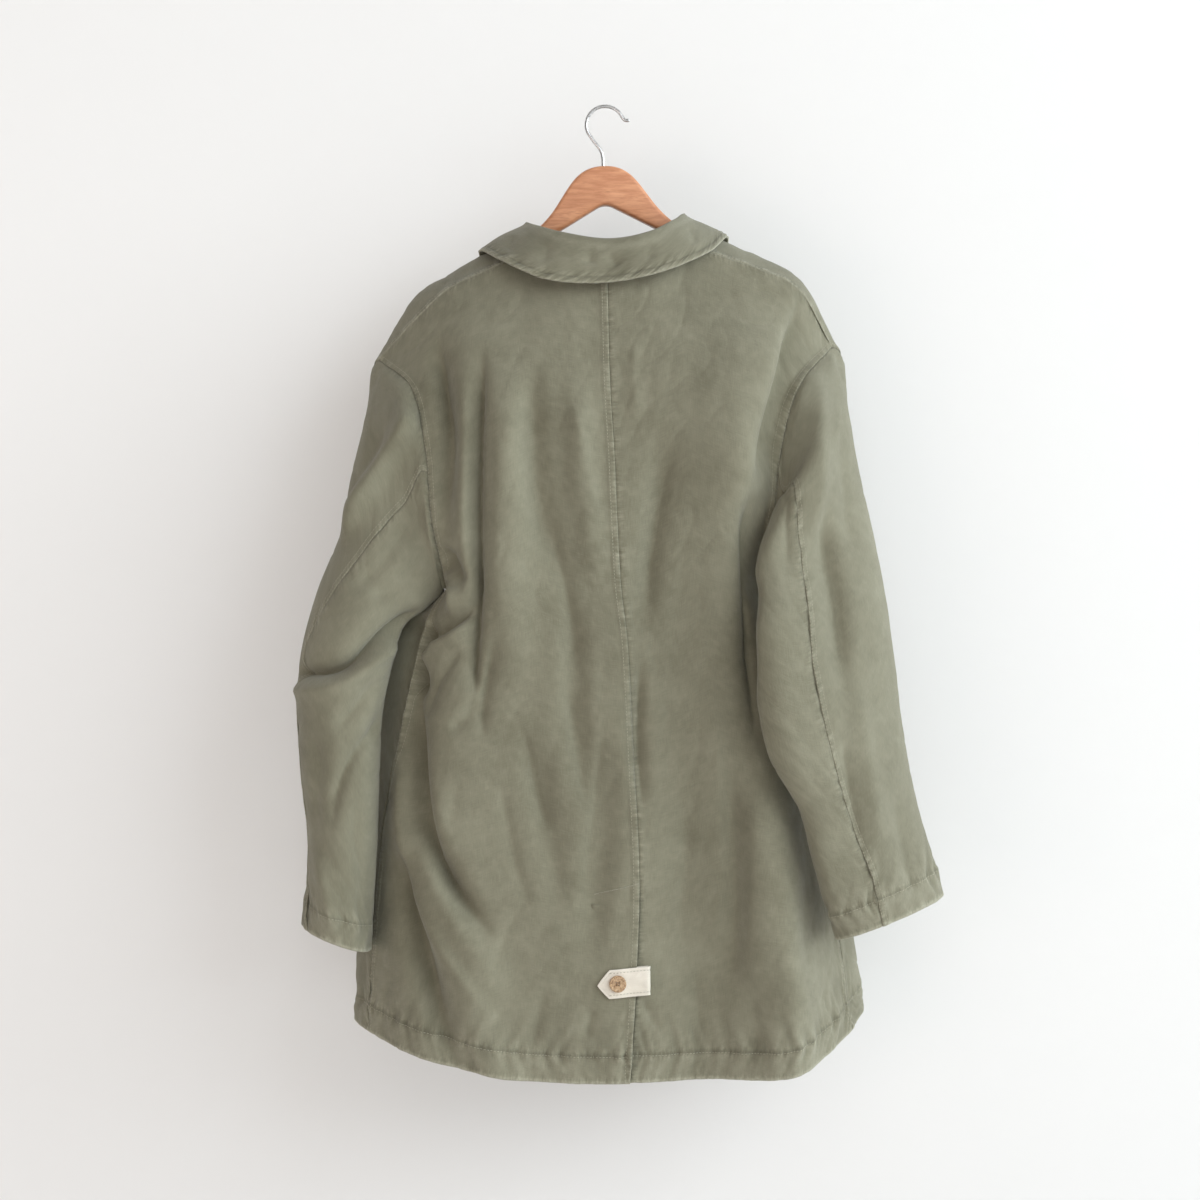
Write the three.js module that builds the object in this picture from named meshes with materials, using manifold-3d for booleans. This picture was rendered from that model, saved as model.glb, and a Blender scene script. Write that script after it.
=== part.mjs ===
// A chore coat in cotton twill, buttoned and hung on a wooden hanger with a steel wire hook.
// Millimetres. +Z is up, +Y is the way the coat's front faces, +X is the wearer's right.
// The origin is the underside of the hook's top, where a rail carries the coat.

import * as THREE from 'three';
import { mergeVertices } from 'three/addons/utils/BufferGeometryUtils.js';
import Module from 'manifold-3d';

const wasm = await Module();
wasm.setup();

// ---------------------------------------------------------------- driving sizes

const CLOTH = 1.2; // wall of the twill
const TAB_CLOTH = 1.4; // wall of the folded canvas tab
const SEAM_GAP = 0.26; // each piece stops this far short of a flat seam
const SHOULDER_GAP = 0.4; // and this far short of the curved shoulder seam
const ARMHOLE_GAP = 1.35; // and this far short of the armhole, where the walls meet at an angle
const ARMHOLE_END = 12; // the armhole's gap goes on this far below the underarm
const LAP_STEP = 2.3; // each front leaves the middle by this much where they lap
const LAP_REACH = 20; // a front goes this far past the centre front
const LAP_FADE = 60; // the step has died out this far from the centre front
const LAP_EASE = 7; // the lap comes in over this height at the front of the neck
const VENT_TOP = -800; // the centre back seam opens here
const VENT_STEP = 5; // the underlap lies this far inside the overlap
const VENT_EASE = 36; // the step grows over this height below the vent top
const VENT_FLAT = 30; // it is full out to this far from the middle plane
const VENT_FADE = 120; // and has died out this far from it
const UNDERLAP = 48; // width of the underlap behind the overlap
const UNDERLAP_START = 20; // it starts this far below the vent top

// How finely each piece is divided.
const NECK_COLUMNS = 4;
const BACK_COLUMNS = 10;
const BACK_YOKE_ROWS = [4, 2, 2, 2]; // from the top line to each level down to the underarm
const FRONT_COLUMNS = 9;
const FRONT_YOKE_ROWS = [3, 3, 6, 2, 2, 2]; // seam, ridge, chest, neck front, then levels
const SIDE_ROWS = 16; // from the underarm to the hem, the same in back and fronts
const SLEEVE_TURN = 24;
const SLEEVE_ROWS = 15;
const TOP_SLEEVE_COLUMNS = 10;
const UNDER_SLEEVE_COLUMNS = 7;
const ARMHOLE_STEPS = 40; // along the back armhole when the sleeve's top ring is divided
const RIDGE_STEPS = 8; // and from the shoulder's ridge back to it
const UNDERLAP_STEPS = 4;

const LEFT = -1;
const RIGHT = 1;

const table = (columns, rows) => rows.map(
  (row) => Object.fromEntries(columns.map((name, index) => [name, row[index]])),
);

// Level sections of the body, one table a side, x measured out from the middle plane.
// edge: back armhole, or side seam below the underarm. side: front armhole, or the side.
// rise: how much higher than z the hem lies at the side. bend: how late it starts to rise.
const SECTION = ['z', 'cbX', 'cbY', 'backX', 'backY', 'bladeX', 'bladeY', 'edgeX', 'edgeY',
  'sideX', 'sideY', 'frontX', 'frontY', 'cfY', 'rise', 'bend'];

const SECTIONS_LEFT = table(SECTION, [
  [-300, -4, -76, 62, -82, 132, -82, 199, -52, 203, 28, 90, 60, 62, 0, 2],
  [-365, -8, -84, 62, -88, 136, -90, 184, -66, 182, 34, 90, 72, 74, 0, 2],
  [-435, -11, -88, 64, -92, 140, -95, 177, -74, 171, 30, 88, 80, 82, 0, 2],
  [-505, -15, -90, 64, -94, 138, -96, 163, -50, 163, -50, 92, 84, 86, 0, 2],
  [-532, -17, -91, 66, -95, 142, -96, 182, -52, 228, 14, 102, 86, 88, 0, 2],
  [-680, -28, -93, 78, -98, 166, -96, 217, -46, 243, 8, 120, 92, 94, 0, 2],
  [-800, -33, -96, 82, -100, 178, -96, 235, -38, 255, 4, 128, 95, 98, 0, 2],
  [-900, -30, -101, 86, -102, 182, -97, 241, -44, 260, -6, 130, 98, 100, 0, 2],
  [-1001, -24, -103, 86, -104, 184, -98, 243, -52, 261, -10, 130, 98, 100, 50, 2],
]);

const SECTIONS_RIGHT = table(SECTION, [
  [-300, 4, -76, 66, -79, 130, -80, 197, -50, 203, 28, 90, 60, 62, 0, 4],
  [-365, 8, -84, 68, -83, 134, -90, 179, -54, 182, 34, 90, 72, 74, 0, 4],
  [-435, 11, -88, 72, -83, 140, -92, 172, -56, 172, 32, 88, 80, 82, 0, 4],
  [-505, 15, -90, 74, -82, 144, -90, 166, -38, 166, -38, 92, 84, 86, 0, 4],
  [-580, 21, -91, 74, -81, 150, -89, 194, -22, 220, 26, 108, 88, 90, 0, 4],
  [-680, 28, -93, 78, -81, 158, -91, 214, -18, 238, 24, 120, 92, 94, 0, 4],
  [-800, 33, -96, 94, -80, 178, -105, 231, -24, 251, 14, 126, 95, 98, 0, 4],
  [-900, 30, -101, 104, -81, 190, -112, 245, -36, 263, 6, 130, 98, 100, 0, 4],
  [-999, 24, -103, 102, -86, 192, -110, 252, -46, 267, -4, 130, 98, 100, 58, 6],
]);

const CF_X = 2; // the centre front hangs this far to the right of the middle plane

// The neck and shoulder lines of one side, from the collar out to the shoulder point.
// seam: back shoulder seam. ridge: the fold over the hanger. chest: below it in front.
const SHOULDER = ['seamX', 'seamY', 'seamZ', 'ridgeX', 'ridgeZ', 'chestX', 'chestY', 'chestZ'];

const SHOULDER_LEFT = table(SHOULDER, [
  [84, -36, -159, 95, -137, 86, 30, -164],
  [124, -36, -177, 130, -154.5, 124, 32, -184],
  [163, -35, -196, 163, -174, 162, 33, -206],
  [197, -29, -227, 200, -199, 196, 29, -232],
  [237, -10, -266, 243, -270, 238, 9, -281],
]);

const SHOULDER_RIGHT = table(SHOULDER, [
  [80, -36, -148, 92, -125, 84, 30, -155],
  [120, -36, -162, 126, -141.5, 122, 32, -172],
  [158, -35, -175, 164, -159, 160, 33, -190],
  [197, -29, -193, 204, -182, 197, 30, -215],
  [236, -9, -252, 246, -257, 241, 9, -268],
]);

// The rest of the neck line, from the centre back round to the centre front.
const NECK_BACK = new THREE.Vector3(1, -54, -173);
const NECK_MID = { left: new THREE.Vector3(-46, -49, -167), right: new THREE.Vector3(46, -49, -163) };
const NECK_FRONT = new THREE.Vector3(CF_X, 60, -242);
const CHEST = ['share', 'y', 'rise'];
const CHEST_LINE = table(CHEST, [
  [0.3, 60, -2],
  [0.6, 50, -10],
  [0.85, 36, -34],
]);

// Largest folds of the back: a soft trough (depth over 0) or ridge (depth under 0)
// from one place through a middle place to another, of the given width.
const FOLD = ['x1', 'z1', 'x2', 'z2', 'x3', 'z3', 'width', 'depth'];
const FOLDS_BACK = table(FOLD, [
  [-174, -240, -160, -336, -160, -470, 22, 12],
  [-147, -270, -147, -380, -142, -560, 18, -6],
  [-100, -260, -94, -420, -92, -640, 40, -9],
  [-76, -262, -72, -400, -46, -500, 26, 8],
  [-30, -262, -26, -400, -4, -520, 28, -7],
  [-36, -500, -30, -620, -14, -740, 24, 7],
  [60, -330, 46, -460, 32, -580, 26, 8],
  [34, -570, 31, -650, 34, -730, 18, 7],
  [-198, -600, -188, -740, -112, -880, 24, 16],
  [-196, -640, -168, -790, -84, -960, 34, -10],
  [-206, -760, -190, -870, -138, -1010, 26, 14],
  [-160, -860, -120, -960, -80, -1080, 44, -8],
  [-72, -650, -60, -740, -44, -840, 30, 7],
  [8, -640, -4, -760, -20, -900, 26, 7],
  [212, -820, 218, -900, 224, -1120, 34, 10],
]);

const FOLD_TAPER = 0.3; // share of its length over which a fold dies out at each end
const BACK_HELD_ROWS = 3; // the yoke's first rows lie flat over the hanger
const BACK_EDGE = 0.94; // share of a back panel's width after which folds die out
const FRONT_FREE_ROWS = [12, 16]; // fronts fold freely from here down
const FRONT_FREE_INNER = [0.1, 0.3]; // and between these shares of their width
const FRONT_FREE_OUTER = [0.55, 0.8];

// Folds like them on the hidden front.
const FOLDS_FRONT = table(FOLD, [
  [-150, -320, -128, -430, -132, -560, 44, -7],
  [-96, -330, -84, -470, -92, -620, 46, 6],
  [140, -320, 124, -440, 130, -600, 44, -7],
  [90, -340, 80, -480, 96, -640, 46, 6],
  [-190, -640, -150, -800, -116, -960, 50, -7],
  [184, -660, 150, -820, 124, -960, 50, -7],
]);

// Sleeve sections from the armhole to the cuff: the outer and inner edge of each, as worn
// flat beside the body, half its depth, and where round it the elbow seam lies (1 = a turn).
const SLEEVE = ['outerX', 'outerY', 'outerZ', 'innerX', 'innerY', 'innerZ', 'depth', 'elbow'];

const SLEEVE_LEFT = table(SLEEVE, [
  [248, -12, -318, 168, -44, -508, 40, 0.26],
  [262, -20, -384, 186, -52, -525, 42, 0.23],
  [273, -30, -443, 206, -56, -541, 44, 0.194],
  [298, -42, -512, 213, -60, -558, 45, 0.139],
  [313, -52, -576, 220, -64, -588, 45, 0.07],
  [315, -58, -628, 228, -66, -634, 44, 0.03],
  [310, -62, -700, 231, -68, -702, 42, 0.02],
  [303, -64, -772, 234, -70, -780, 40, 0.05],
  [310, -62, -846, 240, -70, -872, 40, 0.12],
]);

const SLEEVE_RIGHT = table(SLEEVE, [
  [252, -14, -318, 178, -66, -412, 36, 0.38],
  [262, -22, -375, 162, -84, -446, 34, 0.315],
  [274, -34, -440, 150, -95, -482, 31, 0.29],
  [286, -46, -512, 155, -102, -522, 30, 0.3],
  [295, -54, -580, 160, -107, -578, 29, 0.308],
  [303, -58, -650, 170, -110, -644, 29, 0.3],
  [318, -62, -726, 192, -109, -722, 29, 0.29],
  [334, -64, -782, 214, -101, -802, 29, 0.275],
  [343, -64, -817, 232, -92, -857, 30, 0.285],
]);

const FRONT_SLEEVE_SEAM = 0.66; // where round the sleeve its front seam lies
const ELBOW_START = 0.29; // and where the elbow seam meets the armhole
const CAP_ROLL = 4.4; // the sleeve head stands out this far before it turns down
const CAP_REACH = 0.14; // how much of the way to the first section it does so

// The collar, at stations from the centre back to the front end of each side.
const COLLAR = ['foldX', 'foldY', 'foldZ', 'edgeX', 'edgeY', 'edgeZ', 'belly'];

const COLLAR_LEFT = table(COLLAR, [
  [44, -56, -141, 62, -71, -190.5, 1.5],
  [74, -32, -129, 106, -50, -169, 2],
  [84, 2, -122, 133, -4, -151.5, 3],
  [74, 36, -146, 118, 48, -186, 3],
  [1, 66, -232, 66, 75, -291, 1],
]);

const COLLAR_RIGHT = table(COLLAR, [
  [44, -56, -140, 60, -71, -182, 1.5],
  [72, -32, -123, 106, -50, -159, 2],
  [82, 2, -113, 128, -4, -137.5, 3],
  [72, 36, -138, 116, 48, -176, 3],
  [5, 66, -232, 70, 75, -290, 1],
]);

const COLLAR_BACK = { fold: new THREE.Vector3(2, -61, -148), edge: new THREE.Vector3(2, -72, -194) };
const COLLAR_ROLL = 2.6; // radius of the fold along the top of the collar
const COLLAR_LIFT = 2.6; // the stand starts this far above the neck line
const COLLAR_BELLY = 0.55; // where down the fall it bellies out most
const COLLAR_END = 1; // its front end stands this far before the neck
const COLLAR_COLUMNS = 28;
const COLLAR_ROWS = 9;

// Vent tab: a strap that comes out under the overlap, folds back and buttons on to it.
// seat: how far across the overlap it rests on it. blunt: how rounded its point is.
const TAB = {
  middleZ: -899, width: 28.5, inner: 8, fold: 41, point: -9, shoulder: 12, slant: 0.09, stand: 2.4,
  seat: 26, blunt: 1.15, rows: 4, bendSteps: 4, overSteps: 6, underSteps: 4,
};

const BUTTON = { radius: 8.6, thickness: 3.2, hole: 0.95, pitch: 1.7, holes: 4, sides: 20 };
// Its turned outline from the middle of the back, round the rim, to the dished face.
const BUTTON_PROFILE = table(['r', 'z'], [
  [0, 0],
  [6.9, 0],
  [8.6, 1.3],
  [8.1, 3.2],
  [6.8, 3.2],
  [5.7, 2.4],
  [0, 2.4],
]);
const BUTTON_RING = 8; // places round a button where the cloth's height is taken
const BUTTON_SEAT = 0.3; // air between a button and the cloth under it
const FRONT_BUTTONS = { count: 5, first: -268, spacing: 127 };
const VENT_BUTTON = { x: 11.5, z: -900 };

// Patch pockets low on the hidden front.
// corner: how far the lower corners rise, across and down: how suddenly they do.
const POCKET = {
  width: 165, height: 190, inner: 48, top: -735, corner: 22, across: 5, down: 6, stand: 2.35,
  columns: 14, rows: 8,
};

const HANGER_TILT = THREE.MathUtils.degToRad(2.6); // the left arm hangs lower
const HANGER = { stemX: -3, top: -61.5, thickness: 14, roundOver: 4 };
// Half its outline from the top of the stem round the arm to the middle underneath, and the
// handles that steer the curve into and out of each place.
const HANGER_OUTLINE = table(['x', 'z', 'intoX', 'intoZ', 'outX', 'outZ'], [
  [0, 0, -26, 0, 26, 0],
  [48, -36, 34, -16, 56, -48],
  [84, -71, 66, -60, 119, -89],
  [189, -126.3, 154, -108, 196.3, -130.4],
  [200, -137.1, 200, -134, 200, -141.9],
  [189, -143.7, 196.3, -147.4, 128, -111],
  [8, -43.5, 68, -77, 2.7, -40.8],
]);

// The hook: a round bend from opening to foot in degrees, and how far its wire sinks into
// the hanger's stem, in a hole a little wider and deeper.
const HOOK = {
  wire: 3.7, inner: 18, centreX: -1, opening: 24, foot: 205, turn: 12, sink: 9, play: 0.25,
  holeDepth: 9.5, holeLength: 24, steps: 70,
};
// Its flared tip, out from the side of the bend and up from its centre.
const HOOK_TIP = table(['out', 'up'], [
  [5.5, 5.2],
  [1.2, 4.4],
]);
// And the shank, down from the bend to the top of the hanger.
const HOOK_SHANK = table(['x', 'z'], [
  [-13, -35],
  [-5.4, -44],
  [-3.4, -51],
  [-3, -59.5],
]);

const MATERIALS = {
  twill: { color: 0x77725c, roughness: 0.9, metalness: 0 },
  twillSleeve: { color: 0x7c7761, roughness: 0.9, metalness: 0 },
  canvas: { color: 0xe2d8c4, roughness: 0.9, metalness: 0 },
  horn: { color: 0x6f5138, roughness: 0.35, metalness: 0 },
  beech: { color: 0xc98a5e, roughness: 0.45, metalness: 0 },
  steel: { color: 0xb9bcc0, roughness: 0.3, metalness: 1 },
};

// ---------------------------------------------------------------- curves and grids

const point = (x, y, z) => new THREE.Vector3(x, y, z);

const smoothStep = (from, to, value) => THREE.MathUtils.smoothstep(value, from, to);

// A curve through points; before and after only steer its ends. Index units: 0 is the first.
function through(points, before = [], after = []) {
  const curve = new THREE.CatmullRomCurve3([...before, ...points, ...after], false, 'centripetal');
  const spans = curve.points.length - 1;
  return (index) => curve.getPoint((index + before.length) / spans);
}

// count + 1 points of a curve, evenly spaced along it, between two of its index values.
function evenly(curve, from, to, count) {
  const fine = 24 * Math.max(1, Math.ceil(Math.abs(to - from)));
  const walk = [];
  for (let step = 0; step <= fine; step += 1) {
    walk.push(curve(from + (to - from) * step / fine));
  }
  const lengths = [0];
  for (let step = 1; step <= fine; step += 1) {
    lengths.push(lengths[step - 1] + walk[step].distanceTo(walk[step - 1]));
  }
  const result = [];
  let step = 0;
  for (let place = 0; place <= count; place += 1) {
    const wanted = lengths[fine] * place / count;
    while (step < fine - 1 && lengths[step + 1] < wanted) {
      step += 1;
    }
    const share = (wanted - lengths[step]) / (lengths[step + 1] - lengths[step]);
    result.push(walk[step].clone().lerp(walk[step + 1], share));
  }
  return result;
}

// Rows of points lofted into a surface: at(column, index) with the index along the rows.
function loft(rows) {
  const columns = rows[0].map((_, column) => through(rows.map((row) => row[column])));
  return (column, index) => columns[column](index);
}

// Index values that split a curve evenly by its true length; the last one is left out.
function evenIndexes(curve, from, to, count) {
  const fine = 200;
  const lengths = [0];
  for (let step = 1; step <= fine; step += 1) {
    const [before, here] = [step - 1, step].map((part) => curve(from + (to - from) * part / fine));
    lengths.push(lengths[step - 1] + here.distanceTo(before));
  }
  const indexes = [];
  let step = 0;
  for (let row = 0; row < count; row += 1) {
    const wanted = lengths[fine] * row / count;
    while (step < fine - 1 && lengths[step + 1] < wanted) {
      step += 1;
    }
    const share = (wanted - lengths[step]) / (lengths[step + 1] - lengths[step]);
    indexes.push(from + (to - from) * (step + share) / fine);
  }
  return indexes;
}

// Pulls one side of a grid (grid[row][column]) back from the seam by the gap.
function pullBack(grid, side, gap) {
  const lastRow = grid.length - 1;
  const lastColumn = grid[0].length - 1;
  const lines = {
    start: (index) => [[index, 0], [index, 1]],
    end: (index) => [[index, lastColumn], [index, lastColumn - 1]],
    top: (index) => [[0, index], [1, index]],
    bottom: (index) => [[lastRow, index], [lastRow - 1, index]],
  };
  const count = side === 'start' || side === 'end' ? lastRow : lastColumn;
  for (let index = 0; index <= count; index += 1) {
    const [[row, column], [nextRow, nextColumn]] = lines[side](index);
    const away = grid[nextRow][nextColumn].clone().sub(grid[row][column]);
    const pull = typeof gap === 'function' ? gap(index / count) : gap;
    grid[row][column].addScaledVector(away.normalize(), pull);
  }
}

function gridNormals(grid) {
  const lastRow = grid.length - 1;
  const lastColumn = grid[0].length - 1;
  return grid.map((line, row) => line.map((_, column) => {
    const down = grid[Math.min(row + 1, lastRow)][column].clone();
    down.sub(grid[Math.max(row - 1, 0)][column]);
    const across = grid[row][Math.min(column + 1, lastColumn)].clone();
    across.sub(grid[row][Math.max(column - 1, 0)]);
    return down.cross(across).normalize();
  }));
}

// Moves a grid along its own normals; by may be a number or a function of row and column.
function offset(grid, by) {
  const normals = gridNormals(grid);
  return grid.map((line, row) => line.map((place, column) => {
    const distance = typeof by === 'function' ? by(row, column, place) : by;
    return place.clone().addScaledVector(normals[row][column], distance);
  }));
}

// A closed wall of even thickness about a grid. The outside is where down x across points.
function wall(grid, thickness) {
  const outside = offset(grid, thickness / 2);
  const inside = offset(grid, -thickness / 2);
  const rows = grid.length;
  const columns = grid[0].length;
  const positions = [];
  for (const skin of [outside, inside]) {
    for (const line of skin) {
      for (const place of line) {
        positions.push(place.x, place.y, place.z);
      }
    }
  }
  const indices = [];
  const number = (skin, row, column) => (skin * rows + row) * columns + column;
  const quad = (a, b, c, d) => indices.push(a, b, c, a, c, d);
  for (let row = 0; row < rows - 1; row += 1) {
    for (let column = 0; column < columns - 1; column += 1) {
      const [a, b] = [number(0, row, column), number(0, row + 1, column)];
      const [c, d] = [number(0, row + 1, column + 1), number(0, row, column + 1)];
      quad(a, b, c, d);
      const [e, f] = [number(1, row, column), number(1, row, column + 1)];
      const [g, h] = [number(1, row + 1, column + 1), number(1, row + 1, column)];
      quad(e, f, g, h);
    }
  }
  const rim = (r1, c1, r2, c2) => {
    quad(number(0, r1, c1), number(0, r2, c2), number(1, r2, c2), number(1, r1, c1));
  };
  for (let row = 0; row < rows - 1; row += 1) {
    rim(row + 1, 0, row, 0);
    rim(row, columns - 1, row + 1, columns - 1);
  }
  for (let column = 0; column < columns - 1; column += 1) {
    rim(0, column, 0, column + 1);
    rim(rows - 1, column + 1, rows - 1, column);
  }
  const geometry = new THREE.BufferGeometry();
  geometry.setAttribute('position', new THREE.Float32BufferAttribute(positions, 3));
  geometry.setIndex(indices);
  return geometry;
}

function toManifold(geometry) {
  const bare = geometry.clone();
  bare.deleteAttribute('normal');
  bare.deleteAttribute('uv');
  const merged = mergeVertices(bare, 1e-4);
  const mesh = new wasm.Mesh({
    numProp: 3,
    vertProperties: new Float32Array(merged.attributes.position.array),
    triVerts: new Uint32Array(merged.index.array),
  });
  return new wasm.Manifold(mesh);
}

function fromManifold(solid) {
  const mesh = solid.getMesh();
  const geometry = new THREE.BufferGeometry();
  geometry.setAttribute('position', new THREE.Float32BufferAttribute(mesh.vertProperties, 3));
  geometry.setIndex([...mesh.triVerts]);
  return geometry;
}

const coat = new THREE.Group();

function add(name, geometry, finish, group = coat) {
  const mesh = new THREE.Mesh(geometry, new THREE.MeshStandardMaterial(MATERIALS[finish]));
  mesh.name = name;
  group.add(mesh);
  return mesh;
}

// ---------------------------------------------------------------- body

// How far a fold table moves a place in or out, as a push towards the inside of the coat.
function foldPush(folds, place) {
  let push = 0;
  for (const fold of folds) {
    const ends = [[fold.x1, fold.z1], [fold.x2, fold.z2], [fold.x3, fold.z3]];
    let best = 0;
    for (let leg = 0; leg < 2; leg += 1) {
      const [[x1, z1], [x2, z2]] = [ends[leg], ends[leg + 1]];
      const length = Math.hypot(x2 - x1, z2 - z1);
      const along = ((place.x - x1) * (x2 - x1) + (place.z - z1) * (z2 - z1)) / length ** 2;
      const held = THREE.MathUtils.clamp(along, 0, 1);
      const away = Math.hypot(place.x - x1 - held * (x2 - x1), place.z - z1 - held * (z2 - z1));
      const run = (leg + held) / 2;
      const taper = smoothStep(0, FOLD_TAPER, run) * smoothStep(0, FOLD_TAPER, 1 - run);
      best = Math.max(best, Math.exp(-((away / (fold.width / 2)) ** 2)) * taper);
    }
    push += fold.depth * best;
  }
  return push;
}

function hemRise(section, x) {
  return section.rise * (Math.abs(x) / section.sideX) ** section.bend;
}

// A named place of a section, on its own side of the coat.
function sectionPoint(section, side, name) {
  const x = section[`${name}X`];
  return point(side * x, section[`${name}Y`], section.z + hemRise(section, x));
}

const UNDERARM_ROW = 3;

// One level line across the back, as columns from the left edge to the right edge.
function backLine(row) {
  const [left, right] = [SECTIONS_LEFT[row], SECTIONS_RIGHT[row]];
  const closed = row > UNDERARM_ROW;
  const middle = point(right.cbX, right.cbY, (left.z + right.z) / 2);
  const curve = through(
    [
      ...['edge', 'blade', 'back'].map((name) => sectionPoint(left, LEFT, name)),
      middle,
      ...['back', 'blade', 'edge'].map((name) => sectionPoint(right, RIGHT, name)),
    ],
    closed ? [sectionPoint(left, LEFT, 'side')] : [],
    closed ? [sectionPoint(right, RIGHT, 'side')] : [],
  );
  return [
    ...evenly(curve, 0, 3, BACK_COLUMNS),
    ...evenly(curve, 3, 6, BACK_COLUMNS).slice(1),
  ];
}

const shoulderPoint = (mark, side, name) => {
  const y = name === 'ridge' ? 0 : mark[`${name}Y`];
  return point(side * mark[`${name}X`], y, mark[`${name}Z`]);
};

const shoulderLine = (marks, side, name) => marks.map((mark) => shoulderPoint(mark, side, name));

// The back starts at its neck line and the two shoulder seams.
function backTopLine() {
  const left = shoulderLine(SHOULDER_LEFT, LEFT, 'seam').reverse();
  const right = shoulderLine(SHOULDER_RIGHT, RIGHT, 'seam');
  const last = left.length - 1;
  const neck = through([left[last], NECK_MID.left, NECK_BACK, NECK_MID.right, right[0]]);
  return [
    ...evenly(through(left), 0, last, BACK_COLUMNS - NECK_COLUMNS),
    ...evenly(neck, 0, 2, NECK_COLUMNS).slice(1),
    ...evenly(neck, 2, 4, NECK_COLUMNS).slice(1),
    ...evenly(through(right), 0, last, BACK_COLUMNS - NECK_COLUMNS).slice(1),
  ];
}

// The armhole from the shoulder point to the underarm, down the back and down the front.
function armhole(sections, marks, side) {
  const edge = (name) => sections.slice(0, UNDERARM_ROW + 1).map(
    (section) => sectionPoint(section, side, name),
  );
  const tip = marks[marks.length - 1];
  const back = [shoulderPoint(tip, side, 'seam'), ...edge('edge')];
  const over = [
    shoulderPoint(tip, side, 'seam'),
    shoulderPoint(tip, side, 'ridge'),
    shoulderPoint(tip, side, 'chest'),
  ];
  const front = [...over, ...edge('side')];
  return { back: through(back), front: through(front), ridgeIndex: 1, frontLast: front.length - 1 };
}

function sideSeam(sections, side) {
  return through(sections.slice(UNDERARM_ROW).map(
    (section) => sectionPoint(section, side, 'edge'),
  ));
}

const SIDES = {
  left: {
    side: LEFT, sections: SECTIONS_LEFT, marks: SHOULDER_LEFT, sleeve: SLEEVE_LEFT,
    collar: COLLAR_LEFT, neckMid: NECK_MID.left,
  },
  right: {
    side: RIGHT, sections: SECTIONS_RIGHT, marks: SHOULDER_RIGHT, sleeve: SLEEVE_RIGHT,
    collar: COLLAR_RIGHT, neckMid: NECK_MID.right,
  },
};

for (const half of Object.values(SIDES)) {
  half.armhole = armhole(half.sections, half.marks, half.side);
  half.seam = sideSeam(half.sections, half.side);
}

// Row indexes of a panel: some rows between each two levels down to the underarm, and from
// there to the hem the rows that back and front share along the side seam.
function panelIndexes(surface, column, yokeRows, half) {
  const underarm = yokeRows.length;
  const line = (index) => surface(column, index);
  const above = yokeRows.flatMap((count, level) => evenIndexes(line, level, level + 1, count));
  const hem = half.sections.length - 1 - UNDERARM_ROW;
  const below = [...evenIndexes(half.seam, 0, hem, SIDE_ROWS), hem];
  return [...above, ...below.map((index) => index + underarm)];
}

// Grid rows of a loft with its two edges drawn to their true seam curves.
function seamedGrid(surface, columns, indexes, edges) {
  const last = columns.length - 1;
  return indexes.map((index) => {
    const line = columns.map((column) => surface(column, index));
    const drawTo = (at, target) => {
      const shift = target.sub(line[at]);
      line.forEach((place, column) => {
        const nearness = 1 - Math.abs(column - at) / last;
        place.addScaledVector(shift, nearness ** 3);
      });
    };
    drawTo(0, edges.first(index));
    drawTo(last, edges.last(index));
    return line;
  });
}

function buildBack(name) {
  const half = SIDES[name];
  const rows = [backTopLine(), ...SECTIONS_LEFT.map((_, row) => backLine(row))];
  const surface = loft(rows);
  const steps = [...Array(BACK_COLUMNS + 1).keys()];
  // Columns run from the centre back outwards, so the down x across normal is set by side.
  const columns = steps.map((step) => BACK_COLUMNS + half.side * step);
  const underarm = UNDERARM_ROW + 1;
  const indexes = panelIndexes(surface, BACK_COLUMNS, BACK_YOKE_ROWS, half);
  const grid = seamedGrid(surface, columns, indexes, {
    first: (index) => surface(BACK_COLUMNS, index),
    last: (index) => (index <= underarm ? half.armhole.back(index) : half.seam(index - underarm)),
  });
  for (const [row, line] of grid.entries()) {
    for (const [column, place] of line.entries()) {
      const held = smoothStep(BACK_EDGE, 1, column / BACK_COLUMNS);
      const free = smoothStep(0, BACK_HELD_ROWS, row) * (1 - held);
      place.y += foldPush(FOLDS_BACK, place) * free;
    }
  }
  return half.side === LEFT ? grid.map((line) => line.reverse()) : grid;
}

// Inward move of the right panel where it passes under the vent overlap.
function ventStep(place) {
  const below = 1 - smoothStep(VENT_TOP - VENT_EASE, VENT_TOP, place.z);
  const near = 1 - smoothStep(VENT_FLAT, VENT_FADE, place.x);
  return VENT_STEP * below * near;
}

const backLeft = buildBack('left');
const backRight = buildBack('right');
for (const line of backRight) {
  for (const place of line) {
    place.y += ventStep(place);
  }
}

const edgeGap = (grid, gap) => (share) => {
  const row = Math.round(share * (grid.length - 1));
  const column = grid[0].length - 1;
  const outer = Math.abs(grid[row][0].x) > Math.abs(grid[row][column].x) ? 0 : column;
  return grid[row][outer].z > SECTIONS_LEFT[UNDERARM_ROW].z - ARMHOLE_END ? gap : SEAM_GAP;
};

pullBack(backLeft, 'start', edgeGap(backLeft, ARMHOLE_GAP));
pullBack(backLeft, 'end', SEAM_GAP);
pullBack(backLeft, 'top', SHOULDER_GAP);
pullBack(backRight, 'start', SEAM_GAP);
pullBack(backRight, 'end', edgeGap(backRight, ARMHOLE_GAP));
pullBack(backRight, 'top', SHOULDER_GAP);

// The underlap carries the right panel on behind the overlap, below the top of the vent.
function underlapGrid() {
  const rows = backRight.filter((line) => line[0].z < VENT_TOP - UNDERLAP_START);
  return rows.map(([start, next]) => {
    const places = [];
    for (let step = 0; step <= UNDERLAP_STEPS; step += 1) {
      places.push(start.clone().add(point(-UNDERLAP * (1 - step / UNDERLAP_STEPS), 0, 0)));
    }
    places.push(start.clone().lerp(next, 0.5));
    return places;
  });
}

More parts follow.
